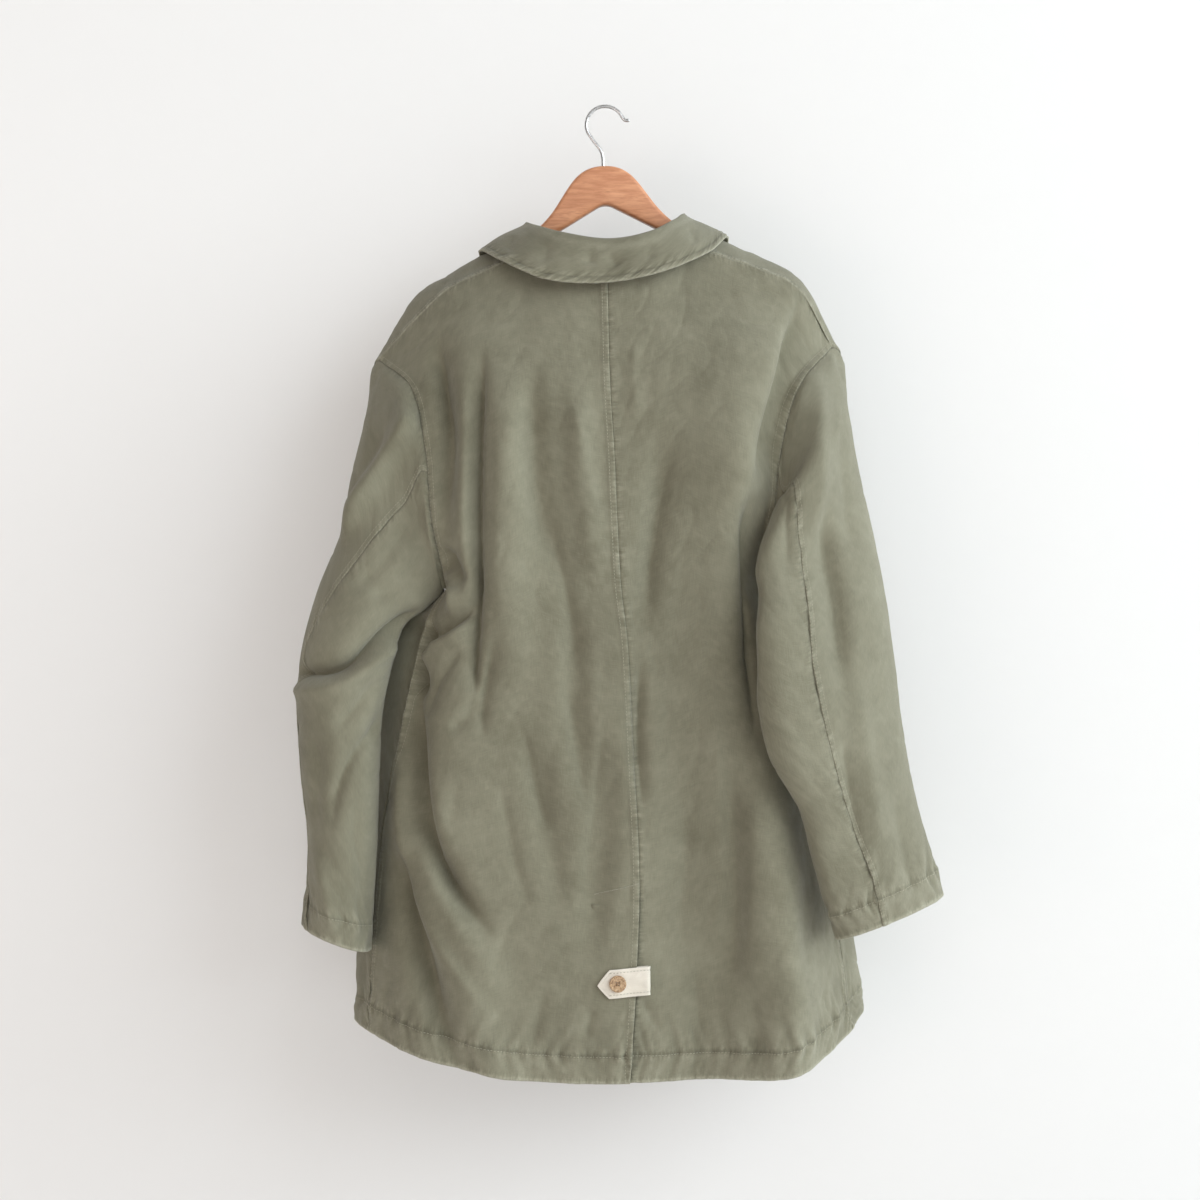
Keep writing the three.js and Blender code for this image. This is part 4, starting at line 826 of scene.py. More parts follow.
def cotton(name, dark, mid, pale, ribs, relief):
    """Washed cotton: cloudy dye, pale where edges rub, soft nap, and painted shade, darker in seam furrows
    and dips, with light and dark ticks painted across puckered seams.
    """
    material, tree, shader = new_material(name)
    weave_place = add_node(tree, "ShaderNodeUVMap", {"uv_map": "weave"}).outputs[0]
    object_place = add_node(tree, "ShaderNodeTexCoord").outputs["Object"]
    weave = place_group(tree, WEAVE, Vector=weave_place, Ribs=ribs)
    wash = place_group(tree, WASH, Vector=object_place)
    wear_and_shade = add_node(tree, "ShaderNodeAttribute", {"attribute_name": "wear_and_shade"}).outputs["Fac"]
    near = add_node(tree, "ShaderNodeAttribute", {"attribute_name": "crimp"}).outputs["Vector"]
    tick = place_group(tree, CRIMP, Vector=weave_place, Near=near)["Tick"]
    colour = mix_colour(tree, wash["Cloud"], dark, mid)
    # deep darkens the thinnest yarns, and is also the colour of the painted shade below.
    deep = tuple(part * 0.55 for part in dark[:3]) + (1,)
    colour = mix_colour(tree, between(tree, weave["Yarn"], 1.0, 1.28, 0.0, 0.12), colour, pale)
    colour = mix_colour(tree, between(tree, weave["Yarn"], 1.0, 0.74, 0.0, 0.15), colour, deep)
    # Painted light and shade: the seam ticks, at half strength, lighten and darken the cloth across puckered
    # seams, as lit and shaded puckers would look.
    wear_and_painted_light = math_node(tree, "ADD", wear_and_shade, math_node(tree, "MULTIPLY", tick, 0.5))
    # Pale where the wear map shows rubbing, and painted highlight where the seam ticks run above 0, broken
    # by the wash's flecks.
    rubbed = math_node(tree, "MULTIPLY", between(tree, wear_and_painted_light, 0.0, 1.0),
                       between(tree, wash["Fleck"], 0.0, 1.0, 0.45, 1.0))
    colour = mix_colour(tree, rubbed, colour, pale)
    # Painted shade: below 0 the map darkens the cloth towards deep, in seam furrows, stitch lines and dips.
    colour = mix_colour(tree, between(tree, wear_and_painted_light, 0.0, -1.0, 0.0, 0.6), colour, deep)
    nap = clouds(tree, object_place, 160.0, 4.0, 0.65)
    height = math_node(tree, "ADD", math_node(tree, "MULTIPLY", weave["Height"], 0.45),
                       math_node(tree, "MULTIPLY", nap, 1.6))
    height = math_node(tree, "ADD", height, math_node(tree, "MULTIPLY", tick, 1.1))
    roughness = between(tree, wash["Fleck"], 0.0, 1.0, 0.82, 0.96)
    surface_finish(tree, shader, colour, roughness, height, relief, 0.0006)
    shader.inputs["Sheen Weight"].default_value = 0.18
    shader.inputs["Sheen Roughness"].default_value = 0.55
    shader.inputs["Specular IOR Level"].default_value = 0.25
    return material


TWILL = cotton("twill", TWILL_DARK, TWILL_MID, TWILL_PALE, 5700.0, 0.55)

thread_paths = {}


def thread_path(group, places, normals):
    """Keeps a line of topstitching for the stitching section."""
    thread_paths.setdefault(group, []).append((np.array(places), np.array(normals)))


def line_at(places, normals, away, distance, axis=1):
    """The places on a grid where a distance field reaches a value, one for each row."""
    order = places if axis == 1 else places.swapaxes(0, 1)
    field = away if axis == 1 else away.T
    facing = normals if axis == 1 else normals.swapaxes(0, 1)
    found, found_normals = [], []
    for line, values, turned in zip(order, field, facing):
        falling = values[0] > values[-1]
        ranked = slice(None, None, -1) if falling else slice(None)
        at = np.interp(distance, values[ranked], np.arange(len(values))[ranked])
        low = min(int(at), len(values) - 2)
        share = at - low
        found.append(line[low] * (1 - share) + line[low + 1] * share)
        found_normals.append(turned[low] * (1 - share) + turned[low + 1] * share)
    return np.array(found), np.array(found_normals)


def seam_nearness(down, across):
    """How near each place is to seams that run down the cloth and across it."""
    grids = [sum(nearness(away, 5.5) for away in group) for group in (down, across)]
    return np.clip(np.stack(grids, axis=-1), 0, 1)


def vent_step(places):
    """How far the right panel passes inside the left one below the vent top."""
    below = 1 - smooth_step(VENT_TOP - 34, VENT_TOP + 2, places[..., 2])
    near = 1 - smooth_step(30, 120, places[..., 0])
    return VENT_STEP * below * near


def back_panel(side):
    """One back panel with its folds, felled edges, turned hem and stitch lines."""
    shares = graded(BACK_WIDTH, coarse=2.7, first=12, last=12)
    rows = back_rows(side, shares)
    spine = rows[:, len(shares) // 2]
    index = spread(spine, 0, 9, graded(BACK_LENGTH, coarse=2.8, first=12, last=32))
    places = draw_to(spline_places(rows, index), 0, spline_places(rows[:, 0], index))
    places = draw_to(places, len(shares) - 1, edge_places(index, armhole_points(side, "edge"), side))
    weave = weave_over(places, side)
    from_middle = lengths_along(places, 1)
    from_edge = from_middle[:, -1:] - from_middle
    from_top = lengths_along(places, 0)
    from_hem = from_top[-1:] - from_top
    free = smooth_step(0, BACK_HELD_ROWS, index)[:, None] * (1 - smooth_step(BACK_EDGE, 1, shares))
    normals = grid_normals(places, np.array([0, -1.0, 0]))
    loose = smooth_step(0, 12, from_middle) * smooth_step(0, 10, from_edge) * smooth_step(0, 14, from_top)
    inward = crease_depth(places, BACK_CREASES) * smooth_step(0, 8, from_edge)
    inward += rumple(from_middle * side, from_top, 11 + side) * loose
    outward = pucker(from_top, from_middle, 21, pitch=10, height=0.8, reach=12)
    outward *= smooth_step(0, 3, from_middle)
    outward += pucker(from_top, from_edge, 22 + side, **SEAM_PUCKER) * smooth_step(0, 2, from_edge)
    outward += pucker(from_middle, from_top, 23 + side, **SEAM_PUCKER) * smooth_step(0, 2, from_top)
    outward += pucker(from_middle, np.abs(from_hem - HEM_TURN), 24 + side, **HEM_PUCKER)
    outward += hem_step(from_hem, 0.7)
    if side == LEFT:
        outward += fell(from_middle, 0.32)
    else:
        outward -= 0.4 * nearness(from_middle, 2.0)
    outward += fell(from_edge, 0.35) - 0.4 * nearness(from_edge, 1.6)
    places[..., 1] += fold_depth(places, BACK_FOLDS) * free
    if side == RIGHT:
        places[..., 1] += vent_step(places)
    places = places + normals * (outward - inward)[..., None]
    normals = grid_normals(places, np.array([0, -1.0, 0]))
    fleck = value_noise(from_top / 5, from_middle / 5, 31)
    # The wear map: pale where the hem edge rubs; painted shade below 0 in the hem's stitch furrow and along
    # the armhole and side seam edge.
    wear_and_shade = 0.8 * nearness(from_hem, 2.0) - 0.7 * nearness(from_hem - HEM_TURN, 2.0)
    wear_and_shade -= 0.25 * nearness(from_edge, 1.5)
    crimp = seam_nearness([from_middle, from_edge], [from_top, from_hem - HEM_TURN, from_hem])
    # Centre back: the left fell's edge is pale, with painted shade just past it; the right panel takes
    # painted shade in the seam's dip.
    if side == LEFT:
        wear_and_shade = wear_and_shade + 0.2 * nearness(from_middle, 1.0) - 0.3 * nearness(from_middle - FELL_BACK, 0.9)
    else:
        wear_and_shade = wear_and_shade - 0.3 * nearness(from_middle, 1.8)
    # Raised cloth is paler where it rubs, dips and stitch furrows take painted shade, and random flecks are
    # added.
    wear_and_shade = wear_and_shade + 0.25 * np.clip(outward, -1, 1) + 0.12 * fleck
    group = f"back_{SIDE_WORD[side]}"
    if side == LEFT:
        thread_path(group, *line_at(places, normals, from_middle, FELL_STITCH))
    thread_path(group, *line_at(places, normals, from_hem, HEM_STITCH, axis=0))
    for away in (EDGE_STITCH, FELL_STITCH):
        thread_path(group, *line_at(places[2:], normals[2:], from_edge[2:], away))
    return with_turned_hem(places, normals, weave, wear_and_shade, crimp, 0.7) + (places, normals)


def underlap_mesh(places, normals):
    """The right panel carried on behind the left one, below the vent top."""
    below = places[:, 0, 2] < VENT_TOP - 20
    start = places[below, 0]
    reach = np.linspace(-UNDERLAP, 0, 17)
    strip = np.stack([start + np.array([step, 0.0, 0.0]) for step in reach], axis=1)
    strip[..., 1] += 0.2
    facing = np.repeat(normals[below, :1], len(reach), axis=1)
    return cloth_mesh("underlap", strip, facing, weave_over(strip), np.zeros(strip.shape[:2]),
                      np.zeros(strip.shape[:2] + (2,)))


def join_meshes(name, *meshes):
    """Several meshes as one."""
    shape = bmesh.new()
    for mesh in meshes:
        shape.from_mesh(mesh)
    return finished_mesh(shape, name)


left_parts = back_panel(LEFT)
right_parts = back_panel(RIGHT)
back_left = sewn_piece("coat_back_left", cloth_mesh("coat_back_left", *left_parts[:5]), TWILL,
                       "back_left")
back_right = sewn_piece("coat_back_right", join_meshes(
    "coat_back_right", cloth_mesh("right_body", *right_parts[:5]), underlap_mesh(*right_parts[5:])),
    TWILL, "back_right")

# ---------------------------------------------------------------- Fronts
# Two front panels cut in one with a yoke that wraps back over the shoulder to the seam
# behind it. The left laps over the right by 40 mm down the middle and buttons there.

CENTRE_FRONT_X = 2
NECK_FRONT = (CENTRE_FRONT_X, 60, -242)
CHEST_LINE = [(0.3, 60, -2), (0.6, 50, -10), (0.85, 36, -34)]
LAP_STEP = 2.3
LAP_REACH = 20
LAP_EASE = 26
FRONT_WIDTH = 262
FRONT_LENGTH = 930
FRONT_STITCH = 3.6
# Rows of the front's lines where its neck edge ends and where the armhole begins.
NECK_ROW = 3
YOKE_END = 6
FRONT_FOLDS = table(FOLD, [
    [-150, -320, -128, -430, -132, -560, 44, -7],
    [-96, -330, -84, -470, -92, -620, 46, 6],
    [140, -320, 124, -440, 130, -600, 44, -7],
    [90, -340, 80, -480, 96, -640, 46, 6],
    [-190, -640, -150, -800, -116, -960, 50, -7],
    [184, -660, 150, -820, 124, -960, 50, -7],
])
FRONT_CREASES = table(CREASE, [
    [-176, -270, -164, -340, -158, -420, -164, -500, 7, 6, 7],
    [-120, -300, -112, -380, -104, -460, -108, -560, 4, 9, 5.5],
    [-60, -300, -56, -380, -62, -450, -50, -540, 8, 8, 4],
    [-188, -560, -180, -660, -160, -760, -140, -860, 6, 10, 7],
    [-110, -620, -100, -680, -104, -720, -100, -730, 8, 8, 4],
    [-34, -520, -40, -600, -34, -700, -44, -800, 8, 8, 4],
    [60, -310, 58, -390, 66, -460, 54, -540, 8, 8, 4],
    [118, -300, 108, -380, 104, -460, 110, -560, 9, 4, 5.5],
    [172, -260, 160, -340, 154, -420, 150, -500, 6, 7, 7],
    [178, -540, 172, -640, 158, -760, 150, -860, 10, 6, 7],
    [44, -560, 40, -640, 46, -720, 40, -820, 8, 8, 4],
    [108, -600, 104, -660, 106, -700, 102, -728, 8, 8, 4],
])


def chest_line(side, shares):
    """The line from the neck point across the chest to the armhole."""
    outer = np.array(section_point(SECTIONS[side], 0, side, "side"))
    knots = [NECK_FRONT]
    for share, y, rise in CHEST_LINE:
        knots.append((CENTRE_FRONT_X + (outer[0] - CENTRE_FRONT_X) * share, y, NECK_FRONT[2] + rise))
    knots.append(outer)
    return evenly(knots, 0, 4, shares)


def front_line(side, row, shares):
    """A level line of one front from its middle out to its side."""
    section = SECTIONS[side]
    closed = row > UNDERARM
    level = section["z"][row]
    inner = (CENTRE_FRONT_X - side * section["frontX"][row], section["frontY"][row], level)
    knots = [(CENTRE_FRONT_X, section["cfY"][row], level),
             section_point(section, row, side, "front"), section_point(section, row, side, "side")]
    if closed:
        knots.append(section_point(section, row, side, "edge"))
    after = section_point(section, row, side, "blade") if closed else None
    return evenly(knots, 0, len(knots) - 1, shares, inner, after)


def front_panel(side):
    """One front panel with its lap, folds, felled edges and turned hem."""
    over = 1 if side == LEFT else -1
    shares = graded(FRONT_WIDTH, coarse=3.9, first=26, last=12)
    rows = [evenly(shoulder_line(side, name), 0, 4, shares) for name in ("seam", "ridge", "chest")]
    rows.append(chest_line(side, shares))
    rows += [front_line(side, row, shares) for row in range(1, 9)]
    rows = np.array(rows)
    index = spread(rows[:, len(shares) // 2], 0, 11, graded(FRONT_LENGTH, coarse=3.7, first=14, last=32))
    places = spline_places(rows, index)
    neck = np.array([rows[0, 0], rows[1, 0], rows[2, 0], NECK_FRONT])
    inner = np.where((index <= NECK_ROW)[:, None], spline_places(neck, np.minimum(index, NECK_ROW)),
                     places[:, 0])
    places = draw_to(places, 0, inner)
    places = draw_to(places, len(shares) - 1, edge_places(index, armhole_points(side, "side"), side))
    weave = weave_over(places)
    from_middle = lengths_along(places, 1)
    from_edge = from_middle[:, -1:] - from_middle
    from_top = lengths_along(places, 0)
    from_hem = from_top[-1:] - from_top
    free = smooth_step(3, 5, index)[:, None]
    in_front = smooth_step(0.1, 0.3, shares) * (1 - smooth_step(0.55, 0.8, shares))
    radial = places.copy()
    radial[..., 0] *= 0.4
    radial[..., 2] = np.where(places[..., 2] > -200, 60, 0)
    normals = grid_normals(places, radial)
    facing_front = smooth_step(0.2, 0.6, normals[..., 1])
    facing_back = smooth_step(0.1, 0.5, -normals[..., 1])
    loose = smooth_step(0, 12, from_edge) * smooth_step(0, 14, from_top) * smooth_step(10, 40, from_middle)
    inward = crease_depth(places, FRONT_CREASES) * smooth_step(0, 30, from_edge) * facing_front
    inward += crease_depth(places, BACK_CREASES) * facing_back * 0.6 * smooth_step(4, 6, index)[:, None]
    inward += rumple(from_middle * side, from_top, 41 + side) * loose
    outward = pucker(from_top, from_edge, 52 + side, **SEAM_PUCKER) * smooth_step(0, 2, from_edge)
    shoulder = pucker(from_middle, from_top, 53 + side, pitch=8, height=0.9, reach=14)
    outward += shoulder * smooth_step(0, 2, from_top)
    outward += pucker(from_middle, np.abs(from_hem - HEM_TURN), 54 + side, **HEM_PUCKER)
    outward += hem_step(from_hem, 0.55) + fell(from_top, 0.4)
    above = 1 - smooth_step(YOKE_END, YOKE_END + 0.2, index)[:, None]
    outward += fell(from_edge, 0.35) * above - 0.4 * nearness(from_edge, 1.6)
    places[..., 1] -= fold_depth(places, FRONT_FOLDS) * free * in_front
    below = 1 - smooth_step(NECK_FRONT[2] + 1, NECK_FRONT[2] + 8, places[:, :1, 2])
    near = 1 - smooth_step(0, 60, np.abs(places[..., 0] - CENTRE_FRONT_X))
    places[..., 1] += over * LAP_STEP * near * below
    places[..., 0] -= side * LAP_REACH * below * np.clip(1 - from_middle / LAP_EASE, 0, 1)
    places = places + normals * (outward - inward)[..., None]
    normals = grid_normals(places, radial)
    # The wear map: pale at the hem edge, the front edge, the shoulder seam and on raised cloth, where they
    # rub; painted shade below 0 in the hem's stitch furrow, along the armhole and side edge, past the
    # shoulder fell and in dips.
    wear_and_shade = 0.8 * nearness(from_hem, 2.0) - 0.55 * nearness(from_hem - HEM_TURN, 1.6)
    wear_and_shade += 0.6 * nearness(from_middle, 2.0) - 0.25 * nearness(from_edge, 1.5)
    crimp = seam_nearness([from_middle, from_edge], [from_top, from_hem - HEM_TURN, from_hem])
    wear_and_shade += 0.6 * nearness(from_top, 1.6) - 0.5 * nearness(from_top - FELL_BACK, 0.9)
    wear_and_shade += 0.25 * np.clip(outward, -1, 1) + 0.12 * value_noise(from_top / 5, from_middle / 5, 61)
    group = f"front_{SIDE_WORD[side]}"
    thread_path(group, *line_at(places, normals, from_top, EDGE_STITCH, axis=0))
    thread_path(group, *line_at(places, normals, from_top, FELL_STITCH, axis=0))
    thread_path(group, *line_at(places, normals, from_hem, HEM_STITCH, axis=0))
    yoke = index < YOKE_END - 0.05
    thread_path(group, *line_at(places[yoke], normals[yoke], from_edge[yoke], FELL_STITCH))
    lapped = index > NECK_ROW + 0.1
    thread_path(group, *line_at(places[lapped], normals[lapped], from_middle[lapped], FRONT_STITCH))
    return with_turned_hem(places, normals, weave, wear_and_shade, crimp, 0.7)


front_left = sewn_piece("coat_front_left", cloth_mesh("coat_front_left", *front_panel(LEFT)), TWILL,
                        "front_left")
front_right = sewn_piece("coat_front_right", cloth_mesh("coat_front_right", *front_panel(RIGHT)), TWILL,
                         "front_right")

# ---------------------------------------------------------------- Sleeves
# Each sleeve is a top and an under piece, felled down the elbow and down the front, set into
# a dropped armhole. The left one is bent at the elbow, and the cuffs are turned hems.

SLEEVE = "outerX outerY outerZ innerX innerY innerZ depth elbow"
SLEEVES = {
    LEFT: table(SLEEVE, [
        [248, -12, -318, 168, -44, -508, 40, 0.26],
        [262, -20, -384, 186, -52, -525, 42, 0.23],
        [273, -30, -443, 206, -56, -541, 44, 0.194],
        [298, -42, -512, 213, -60, -558, 45, 0.139],
        [313, -52, -576, 220, -64, -588, 45, 0.07],
        [315, -58, -628, 228, -66, -634, 44, 0.03],
        [310, -62, -700, 231, -68, -702, 42, 0.02],
        [303, -64, -772, 234, -70, -780, 40, 0.05],
        [310, -62, -846, 240, -70, -872, 40, 0.12],
    ]),
    RIGHT: table(SLEEVE, [
        [252, -14, -318, 178, -66, -412, 36, 0.38],
        [262, -22, -375, 162, -84, -446, 34, 0.315],
        [274, -34, -440, 150, -95, -482, 31, 0.29],
        [286, -46, -512, 155, -102, -522, 30, 0.3],
        [295, -54, -580, 160, -107, -578, 29, 0.308],
        [303, -58, -650, 170, -110, -644, 29, 0.3],
        [318, -62, -726, 192, -109, -722, 29, 0.29],
        [334, -64, -782, 214, -101, -802, 29, 0.275],
        [343, -64, -817, 232, -92, -857, 30, 0.285],
    ]),
}
FRONT_SLEEVE_SEAM = 0.66
ELBOW_START = 0.29
CAP_ROLL = 4.4
CAP_REACH = 0.14
SLEEVE_TURN = 96
SLEEVE_LENGTH = 600
SLEEVE_AROUND = {"top": 160, "under": 130}
SLEEVE_PUCKER = {"pitch": 9, "height": 0.8, "reach": 10}
HEAD_PUCKER = {"pitch": 9, "height": 1.0, "reach": 16}
CUFF_PUCKER = {"pitch": 8, "height": 2.4, "reach": 22}
SLEEVE_CREASES = table(CREASE, [
    [-170, -290, -204, -352, -238, -404, -276, -470, 20, 4, -23],
    [-210, -326, -236, -372, -262, -416, -284, -470, 12, 6, 10],
    [-186, -522, -230, -560, -268, -584, -372, -592, 6, 5, 23],
    [-186, -536, -230, -576, -268, -602, -372, -612, 7, 7, -8],
    [-216, -630, -232, -650, -262, -690, -280, -760, 8, 6, 9],
    [-292, -763, -283, -795, -275, -825, -271, -860, 8, 6, -6.5],
    [-226, -590, -240, -612, -256, -632, -275, -650, 8, 6, 6.5],
    [-300, -640, -290, -680, -294, -720, -290, -760, 7, 9, 5],
    [-246, -700, -250, -750, -244, -800, -252, -860, 7, 9, 5],
    [-196, -430, -214, -462, -234, -488, -262, -506, 7, 8, 4.5],
    [-184, -480, -202, -500, -220, -510, -240, -514, 7, 7, 4.5],
    [216, -262, 218, -340, 216, -410, 212, -477, 12, 9, -8],
    [158, -480, 163, -570, 170, -650, 190, -740, 5, 32, -17],
    [216, -400, 227, -470, 235, -530, 240, -640, 22, 7, 15],
    [240, -330, 244, -380, 246, -430, 252, -480, 9, 9, 5],
    [184, -400, 180, -430, 182, -460, 180, -500, 8, 7, 5],
    [250, -590, 256, -650, 264, -710, 274, -780, 8, 14, -5],
    [232, -640, 240, -690, 250, -740, 262, -790, 9, 7, 5],
    [206, -740, 214, -770, 224, -800, 236, -850, 7, 10, -5],
    [286, -700, 294, -740, 302, -780, 306, -830, 8, 10, 4.5],
])


def ring_places(rings, turns):
    """Places round closed rings (m, n, 3) at turns (m, k), 1 being once round."""
    count = rings.shape[1]
    place = turns * count
    low = np.floor(place).astype(int)
    share = (place - low)[..., None]
    row = np.arange(len(rings))[:, None]
    return curve_between(*(rings[row, (low + step) % count] for step in (-1, 0, 1, 2)), share)


def sleeve_rings(side):
    """The armhole, the sleeve head's roll and the sections down to the cuff, 24 places each."""
    back, front = armhole_points(side, "edge"), armhole_points(side, "side")
    over = spline_places(front, np.linspace(1, 0, 9))
    walk = np.concatenate([over, evenly(back, 0, 4, np.linspace(0, 1, 41))[1:]])
    half = np.linspace(0, 1, SLEEVE_TURN // 2 + 1)
    loop = np.concatenate([evenly(walk, 0, 48, half), evenly(front, 6, 1, half)[1:-1]])
    rings = []
    angle = np.arange(SLEEVE_TURN) * 2 * math.pi / SLEEVE_TURN
    section = SLEEVES[side]
    for row in range(9):
        outer = np.array([side * section["outerX"][row], section["outerY"][row], section["outerZ"][row]])
        inner = np.array([side * section["innerX"][row], section["innerY"][row], section["innerZ"][row]])
        middle, reach = (outer + inner) / 2, (outer - inner) / 2
        ring = middle + np.cos(angle)[:, None] * reach
        ring[:, 1] -= section["depth"][row] * np.sin(angle)
        rings.append(ring)
    fore_and_aft = np.sign(loop[:, 1] - loop[:, 1].mean())
    out = np.stack([np.full(SLEEVE_TURN, float(side)), fore_and_aft, np.zeros(SLEEVE_TURN)], axis=1)
    cap = loop + CAP_REACH * (rings[0] - loop) + CAP_ROLL * out / math.sqrt(2)
    return np.array([loop, cap] + rings)


def ring_facing(rings, turns):
    """Outward normals of closed rings (m, n, 3) at turns (m, k), the same for every piece."""
    around = grid_normals(rings, rings - rings.mean(axis=1, keepdims=True))
    place = turns * rings.shape[1]
    low = np.floor(place).astype(int)
    share = (place - low)[..., None]
    row = np.arange(len(rings))[:, None]
    first, second = (around[row, (low + step) % rings.shape[1]] for step in (0, 1))
    return first + (second - first) * share


def sleeve_piece(side, part):
    """The top or under piece of one sleeve."""
    rings = sleeve_rings(side)
    elbow = SLEEVES[side]["elbow"]
    elbow = np.concatenate([[ELBOW_START, (ELBOW_START + elbow[0]) / 2], elbow])
    index = spread(rings[:, SLEEVE_TURN // 4], 0, 10, graded(SLEEVE_LENGTH, coarse=2.8, first=10, last=34))
    sections = spline_places(rings, index)
    elbow = np.interp(index, np.arange(11), elbow)
    if part == "top":
        start, end = np.full(len(index), FRONT_SLEEVE_SEAM - 1), elbow
    else:
        start, end = elbow, np.full(len(index), FRONT_SLEEVE_SEAM)
    shares = graded(SLEEVE_AROUND[part], coarse=2.8, first=10, last=10)
    turns = start[:, None] + (end - start)[:, None] * shares
    places = ring_places(sections, turns)
    centre = sections.mean(axis=1, keepdims=True)
    normals = grid_normals(places, places - centre)
    weave = weave_over(places, side)
    from_first = lengths_along(places, 1)
    from_last = from_first[:, -1:] - from_first
    from_head = lengths_along(places, 0)
    from_cuff = from_head[-1:] - from_head
    seed = 70 + side * 3 + (9 if part == "top" else 0)
    rear = smooth_step(0.0, 0.35, -normals[..., 1])
    fore = smooth_step(0.0, 0.35, normals[..., 1])
    ends = smooth_step(0, 14, from_head)
    creases = crease_depth(places, SLEEVE_CREASES)
    pushed = ring_facing(sections, turns) * (creases * ends * (rear + 0.7 * fore))[..., None]
    inward = rumple(from_first + 40, from_head, seed) * ends * 0.9
    inward += pucker(from_first, from_head, seed + 1, **HEAD_PUCKER) * smooth_step(0, 2, from_head)
    outward = pucker(from_head, from_first, seed + 2, **SLEEVE_PUCKER) * smooth_step(0, 2, from_first)
    outward += pucker(from_head, from_last, seed + 3, **SLEEVE_PUCKER) * smooth_step(0, 2, from_last)
    outward += pucker(from_first, np.abs(from_cuff - HEM_TURN), seed + 4, **CUFF_PUCKER)
    outward += hem_step(from_cuff, 0.5) - 0.5 * nearness(from_head, 2.0)
    # The wear map: pale at the cuff edge, on the top piece's fell edges and on raised cloth, where they rub;
    # painted shade below 0 in the cuff's stitch furrow, at the armhole seam, past the fells, in the under
    # piece's seam dips and in other dips.
    wear_and_shade = 0.9 * nearness(from_cuff, 2.2) - 0.5 * nearness(from_cuff - HEM_TURN, 1.6)
    wear_and_shade -= 0.25 * nearness(from_head, 1.6)
    crimp = seam_nearness([from_first, from_last], [from_head, from_cuff - HEM_TURN, from_cuff])
    if part == "top":
        for away in (from_first, from_last):
            outward += fell(away, 0.3)
            wear_and_shade += 0.12 * nearness(away, 1.2) - 0.15 * nearness(away - FELL_BACK, 0.9)
    else:
        nearest = np.minimum(from_first, from_last)
        outward -= 0.4 * nearness(nearest, 2.5)
        wear_and_shade -= 0.25 * nearness(nearest, 1.6)
    wear_and_shade += 0.25 * np.clip(outward, -1, 1) + 0.12 * value_noise(from_head / 5, from_first / 5, seed + 5)
    places = places + normals * (outward - inward)[..., None] - pushed
    normals = grid_normals(places, places - centre)
    group = f"sleeve_{SIDE_WORD[side]}"
    if part == "top":
        for away in (EDGE_STITCH, FELL_STITCH):
            thread_path(group, *line_at(places, normals, from_first, away))
            thread_path(group, *line_at(places, normals, from_last, away))
    thread_path(group, *line_at(places, normals, from_cuff, HEM_STITCH, axis=0))
    return with_turned_hem(places, normals, weave, wear_and_shade, crimp, 0.8)


SLEEVE_CUT = {"top": ((0.24, 0.60), 0.104), "under": ((0.18, 0.58), 0.0675)}
for side, word in SIDE_WORD.items():
    for part, (flat, area) in SLEEVE_CUT.items():
        name = f"sleeve_{word}_{part}"
        cloth = cloth_mesh(f"coat_{name}", *sleeve_piece(side, part))
        piece = sewn_piece(f"coat_{name}", cloth, TWILL, name)

# ---------------------------------------------------------------- Collar
# A turned-down collar of two layers cut in one with its stand, sewn to the neck line. Its
# edge is topstitched 6 mm in, and the seam allowance inside has drawn the edge up in waves.

COLLAR = "foldX foldY foldZ edgeX edgeY edgeZ belly"
COLLARS = {
    LEFT: table(COLLAR, [
        [44, -56, -141, 62, -71, -190.5, 1.5],
        [74, -32, -129, 106, -50, -169, 2],
        [84, 2, -122, 133, -4, -151.5, 3],
        [74, 36, -146, 118, 48, -186, 3],
        [1, 66, -232, 66, 75, -291, 1],
    ]),
    RIGHT: table(COLLAR, [
        [44, -56, -140, 60, -71, -182, 1.5],
        [72, -32, -123, 106, -50, -159, 2],
        [82, 2, -113, 128, -4, -137.5, 3],
        [72, 36, -138, 116, 48, -176, 3],
        [5, 66, -232, 70, 75, -290, 1],
    ]),
}
COLLAR_ROLL = 2.6
COLLAR_LIFT = 2.6
COLLAR_CLOTH = 2.2
COLLAR_STITCH = 6.0
COLLAR_LENGTH = 560
COLLAR_DEPTH = 88
COLLAR_BACK = [(2.0, -61, -148), (2.0, -72, -194), 1.5]
COLLAR_CREASES = table(CREASE, [
    [-14, -153, -16, -162, -17, -170, -18, -178, 4, 5, 3],
    [1, -162, 5, -168, 10, -174, 14, -178, 4, 5, 3],
    [-56, -150, -60, -158, -62, -166, -60, -174, 5, 5, 2],
    [40, -148, 44, -156, 44, -164, 48, -172, 5, 5, 2],
    [-96, -138, -98, -146, -100, -152, -104, -158, 5, 5, 2],
    [84, -128, 88, -138, 90, -146, 94, -152, 5, 5, 2],
])


def collar_across(seam, fold, edge, belly):
    """The collar from its seam up over its fold and down to its edge."""
    out = edge - fold
    out[2] = 0
    out /= np.linalg.norm(out)
    down = np.array([0, 0, -1.0])
    return [seam - COLLAR_LIFT * down, fold + COLLAR_ROLL * (down - out), fold,
            fold + COLLAR_ROLL * (down + out), fold + 0.55 * (edge - fold) + belly * out, edge]


def collar_stations(side):
    """The collar's cross sections along one half of the neck, from back to front."""
    stations = COLLARS[side]
    seams = [np.array(NECK_MID[side], float)]
    seams += [shoulder_line(side, name)[0] for name in ("seam", "ridge", "chest")]
    seams.append(np.array(NECK_FRONT, float) + (0, 1, 2 * COLLAR_LIFT))
    return [collar_across(
        seams[row],
        np.array([side * stations["foldX"][row], stations["foldY"][row], stations["foldZ"][row]]),
        np.array([side * stations["edgeX"][row], stations["edgeY"][row], stations["edgeZ"][row]]),
        stations["belly"][row]) for row in range(5)]


